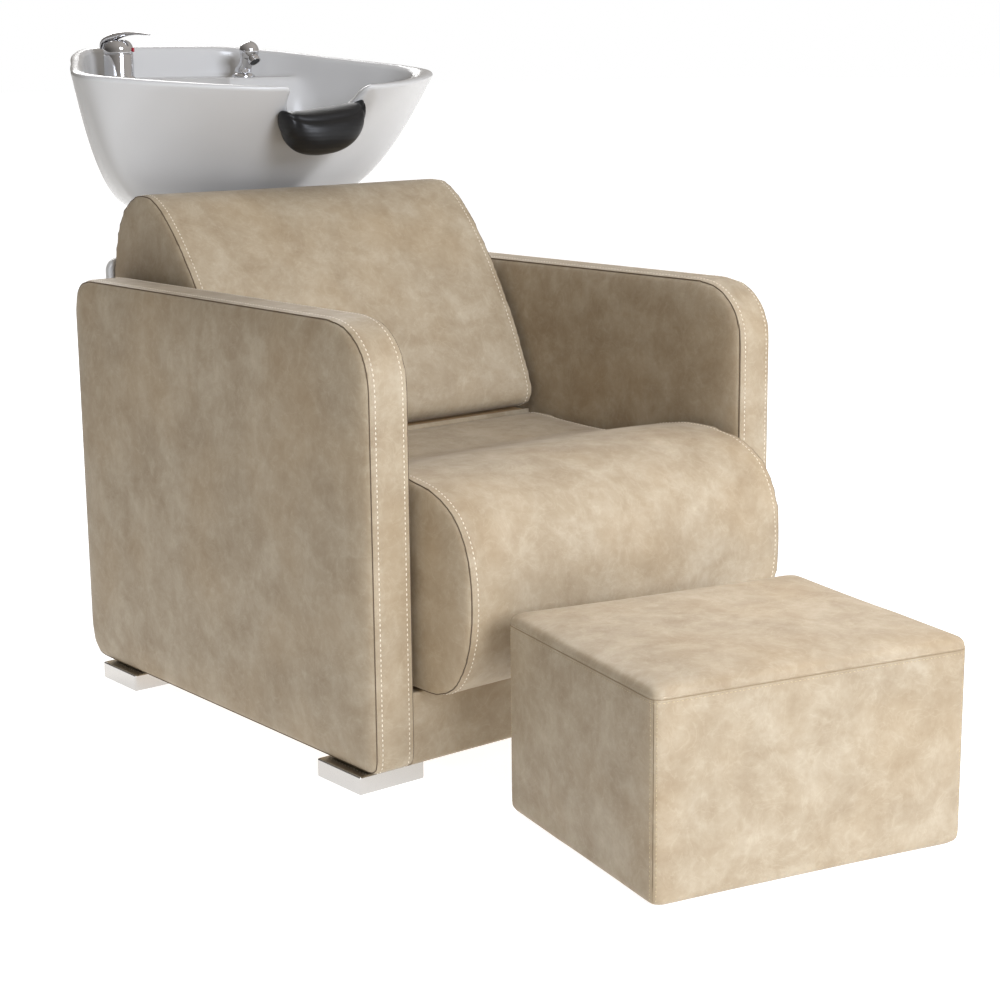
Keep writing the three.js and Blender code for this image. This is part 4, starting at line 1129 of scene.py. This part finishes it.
low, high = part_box("mixer_cap")
cap_height = high[2] - low[2]
cap_profile = [
    (barrel, low[2]), (barrel, low[2] + cap_height * 0.4),
    (barrel - 0.004, low[2] + cap_height * 0.8), (barrel - 0.011, high[2]), (0.004, high[2])]
add_tap_piece(
    "mixer_dome", turned_mesh("mixer_dome", rounded(cap_profile, 0.004, 6), mixer_at),
    "mixer_cap", "mixer_cartridge")

LEVER_LINE = [                                # distance out from the cap's middle, and height
    (-0.0285, 0.005), (-0.0275, 0.016), (-0.0195, 0.0255), (-0.005, 0.0305), (0.012, 0.0325),
    (0.030, 0.0315), (0.044, 0.0293), (0.0522, 0.0272)]
LEVER_WIDTHS = (0.017, 0.020, 0.0225, 0.0225, 0.0190, 0.0145, 0.0115, 0.0085)
LEVER_DEPTHS = (0.003, 0.0055, 0.010, 0.0125, 0.0085, 0.005, 0.0038, 0.002)


def lever_mesh():
    """A cast arch: flat and broad over the cap, thin and narrow at its tip."""
    stations = np.linspace(0, len(LEVER_LINE) - 1, 60)
    knots = np.arange(len(LEVER_LINE))
    line = np.array([[np.interp(s, knots, [p[k] for p in LEVER_LINE]) for k in (0, 1)]
                     for s in stations])
    sizes = np.array([[np.interp(s, knots, w) for w in (LEVER_WIDTHS, LEVER_DEPTHS)]
                      for s in stations])
    for _ in range(10):
        line[1:-1] = (line[:-2] + 2 * line[1:-1] + line[2:]) / 4
        sizes[1:-1] = (sizes[:-2] + 2 * sizes[1:-1] + sizes[2:]) / 4
    run = np.gradient(line, axis=0)
    run /= np.linalg.norm(run, axis=1)[:, None]
    up = np.stack([-run[:, 1], run[:, 0]], -1)
    around = 28
    turn = math.radians(-45)                  # the lever points forward and to the right
    out = np.array((math.cos(turn), math.sin(turn)))
    side = np.array((-out[1], out[0]))
    spots = []
    for spot, rise, (width, depth) in zip(line, up, sizes):
        for j in range(around):
            angle = 2 * math.pi * j / around
            across = width / 2 * math.copysign(abs(math.cos(angle)) ** 0.75, math.cos(angle))
            over = depth * (0.5 * math.copysign(abs(math.sin(angle)) ** 0.8, math.sin(angle))
                            - 0.5)
            run_out = spot[0] + rise[0] * over
            flat = np.array(mixer_at[:2]) + out * run_out + side * across
            spots.append((*flat, cap_low + spot[1] + rise[1] * over))
    faces = ring_faces(len(line), around, capped=True)
    return outward_mesh("mixer_lever_arch", spots, faces)


cap_low = low[2]
add_tap_piece("mixer_lever_arch", lever_mesh(), "mixer_lever", "mixer_lever")


def red_enamel():
    """A drop of red epoxy enamel, glossy, for the warm side."""
    material, tree, place = new_material("red_epoxy_dot")
    cloud = add_node(tree, "ShaderNodeTexNoise", Vector=place, Scale=300.0)
    tone = add_node(
        tree, "ShaderNodeMix", {"data_type": "RGBA"}, _0=cloud.outputs[0],
        _6=linear("#a3172a"), _7=linear("#bb2436"))
    surface(tree, Base_Color=tone.outputs[2], Roughness=0.2, Coat_Weight=0.5)
    return material


eased("temperature_dot", red_enamel(), edge=0.0006, segments=3)


def satin_steel():
    """Zinc-plated and brushed steel: fine lines round the part, soft grey highlights."""
    material, tree, place = new_material("brushed_zinc_plated_steel")
    stretched = add_node(
        tree, "ShaderNodeMapping", Vector=place, Scale=(1.0, 1.0, 30.0)).outputs[0]
    lines = add_node(tree, "ShaderNodeTexNoise", Vector=stretched, Scale=60.0, Detail=3.0)
    haze = add_node(
        tree, "ShaderNodeMapRange", Value=lines.outputs[0], To_Min=0.28, To_Max=0.46)
    brushed = add_node(
        tree, "ShaderNodeBump", Strength=0.12, Distance=0.0002, Height=lines.outputs[0])
    surface(tree, Base_Color=linear("#a9abad"), Metallic=1.0, Roughness=haze.outputs[0],
            Normal=brushed.outputs[0])
    return material


steel = satin_steel()
for fixing in ("mixer_nut", "hot_inlet_tail", "cold_inlet_tail", "spray_holder_nut"):
    eased(fixing, steel, edge=0.0007)

# ---- Hand spray --------------------------------------------------------------------------------
# A pull-out spray that stands in a socket on the deck: a grip that leans forward, a round head
# and a short nozzle with a black face. It is made without its hose.
low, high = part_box("spray_holder")
holder_at = (low + high) / 2
socket_radius = (high[0] - low[0]) / 2
bore = 0.0095
socket_profile = [
    (bore, low[2]), (0.014, low[2]), (0.014, DECK_TOP), (socket_radius, DECK_TOP),
    (socket_radius, DECK_TOP + 0.003), (socket_radius - 0.0035, high[2] - 0.0005),
    (bore + 0.002, high[2]), (bore, high[2] - 0.001)]
add_tap_piece(
    "spray_socket", turned_mesh("spray_socket", rounded(socket_profile, 0.001), holder_at),
    "spray_holder", "basin")

head_low, head_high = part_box("spray_head")
head_at = (head_low + head_high) / 2
head_radius = (head_high[0] - head_low[0]) / 2
low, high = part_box("spray_handle")
stand = Vector((holder_at[0], holder_at[1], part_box("spray_holder")[1][2] + 0.0013))
lean = (head_at - stand).normalized()


def grip_mesh():
    """A stem in the socket, a collar on it and a waisted grip that leans to the head."""
    upright = [(low[2], 0.006), (low[2] + 0.001, 0.008), (stand[2], 0.008),
               (stand[2] + 0.0005, 0.0138), (stand[2] + 0.0055, 0.0138)]
    leaning = [(0.32, 0.0112), (0.45, 0.0104), (0.6, 0.0108), (0.75, 0.0122), (0.85, 0.0125)]
    around = 48
    spots = []
    for z, radius in upright:
        for j in range(around):
            angle = 2 * math.pi * j / around
            spots.append((stand[0] + radius * math.cos(angle),
                          stand[1] + radius * math.sin(angle), z))
    side = Vector((1, 0, 0))
    front = lean.cross(side)
    for share, radius in leaning:
        tilt = min(1.0, share / 0.45)
        middle = stand.lerp(head_at, share)
        ahead = Vector((0, 1, 0)).lerp(front * (1 if front[1] > 0 else -1), tilt).normalized()
        for j in range(around):
            angle = 2 * math.pi * j / around
            spots.append(tuple(middle + side * radius * math.cos(angle)
                               + ahead * radius * math.sin(angle)))
    faces = ring_faces(len(upright) + len(leaning), around, capped=True)
    return outward_mesh("spray_grip", spots, faces)


add_tap_piece("spray_grip", grip_mesh(), "spray_handle", "hand_spray")


def aimed_mesh(name, centre, aim, profile):
    """A turned shape about an axis through centre, from (radius, distance) pairs."""
    mesh = turned_mesh(name, profile, (0, 0), 48)
    turn = Vector(aim).to_track_quat("Z", "Y").to_matrix().to_4x4()
    mesh.transform(Matrix.Translation(centre) @ turn)
    return mesh


nozzle_tilt = math.radians(145)               # from straight up, so it looks forward and down
nozzle_aim = Vector((0.12, -math.sin(nozzle_tilt), math.cos(nozzle_tilt)))
ball = [(max(0.0002, head_radius * math.sin(a)), -head_radius * math.cos(a))
        for a in np.linspace(0.02, math.pi - 0.02, 28)]
add_tap_piece(
    "spray_ball", aimed_mesh("spray_ball", head_at, nozzle_aim, ball),
    "spray_head", "hand_spray")
nozzle = [
    (0.0088, head_radius - 0.004), (0.0098, head_radius + 0.0015), (0.0104, head_radius + 0.002),
    (0.0104, head_radius + 0.0062), (0.0094, head_radius + 0.0066),
    (0.0084, head_radius + 0.0058), (0.001, head_radius + 0.0058)]
spray_face = add_tap_piece(
    "spray_face", aimed_mesh("spray_face", head_at, nozzle_aim, rounded(nozzle, 0.0005)),
    "spray_nozzle", "hand_spray", nylon)
# a plated ring holds the black face
face_radius = 0.0085
spray_face.data.materials.append(tap_chrome)
for face in spray_face.data.polygons:
    along = nozzle_aim.normalized().dot(face.center - head_at)
    from_axis = (face.center - head_at - along * nozzle_aim.normalized()).length
    face.material_index = int(from_axis > face_radius)

# ---- Covers behind the chair -------------------------------------------------------------------
# Two white mouldings: a flat panel over the back of the frame, and a U-shaped shroud round the
# basin's column.
eased("rear_cover", abs_plastic, edge=0.003, segments=4)
eased("column_shroud", abs_plastic, edge=0.0015, segments=3)

# ---- Column and tilt -----------------------------------------------------------------------------
# Welded steel, powder coated black: a base plate, a square post braced to the chair's frame, and
# a yoke whose pin carries the cradle under the basin.


def powder_coat():
    """Black epoxy powder coat: a low gloss with the fine orange peel of baked powder."""
    material, tree, place = new_material("black_powder_coated_steel")
    peel = add_node(
        tree, "ShaderNodeTexVoronoi", {"feature": "SMOOTH_F1"}, Vector=place, Scale=420.0)
    dust = add_node(tree, "ShaderNodeTexNoise", Vector=place, Scale=30.0, Detail=4.0)
    tone = add_node(
        tree, "ShaderNodeMix", {"data_type": "RGBA"}, _0=dust.outputs[0],
        _6=linear("#232427"), _7=linear("#36373a"))
    skin = add_node(
        tree, "ShaderNodeBump", Strength=0.25, Distance=0.0003, Height=peel.outputs["Distance"])
    surface(tree, Base_Color=tone.outputs[2], Roughness=0.42, Normal=skin.outputs[0])
    return material


coated = powder_coat()
for part in ("column_base_plate", "column_post", "column_bracket", "tilt_yoke", "basin_cradle"):
    eased(part, coated, edge=0.001)
eased("tilt_pin", steel, edge=0.001)
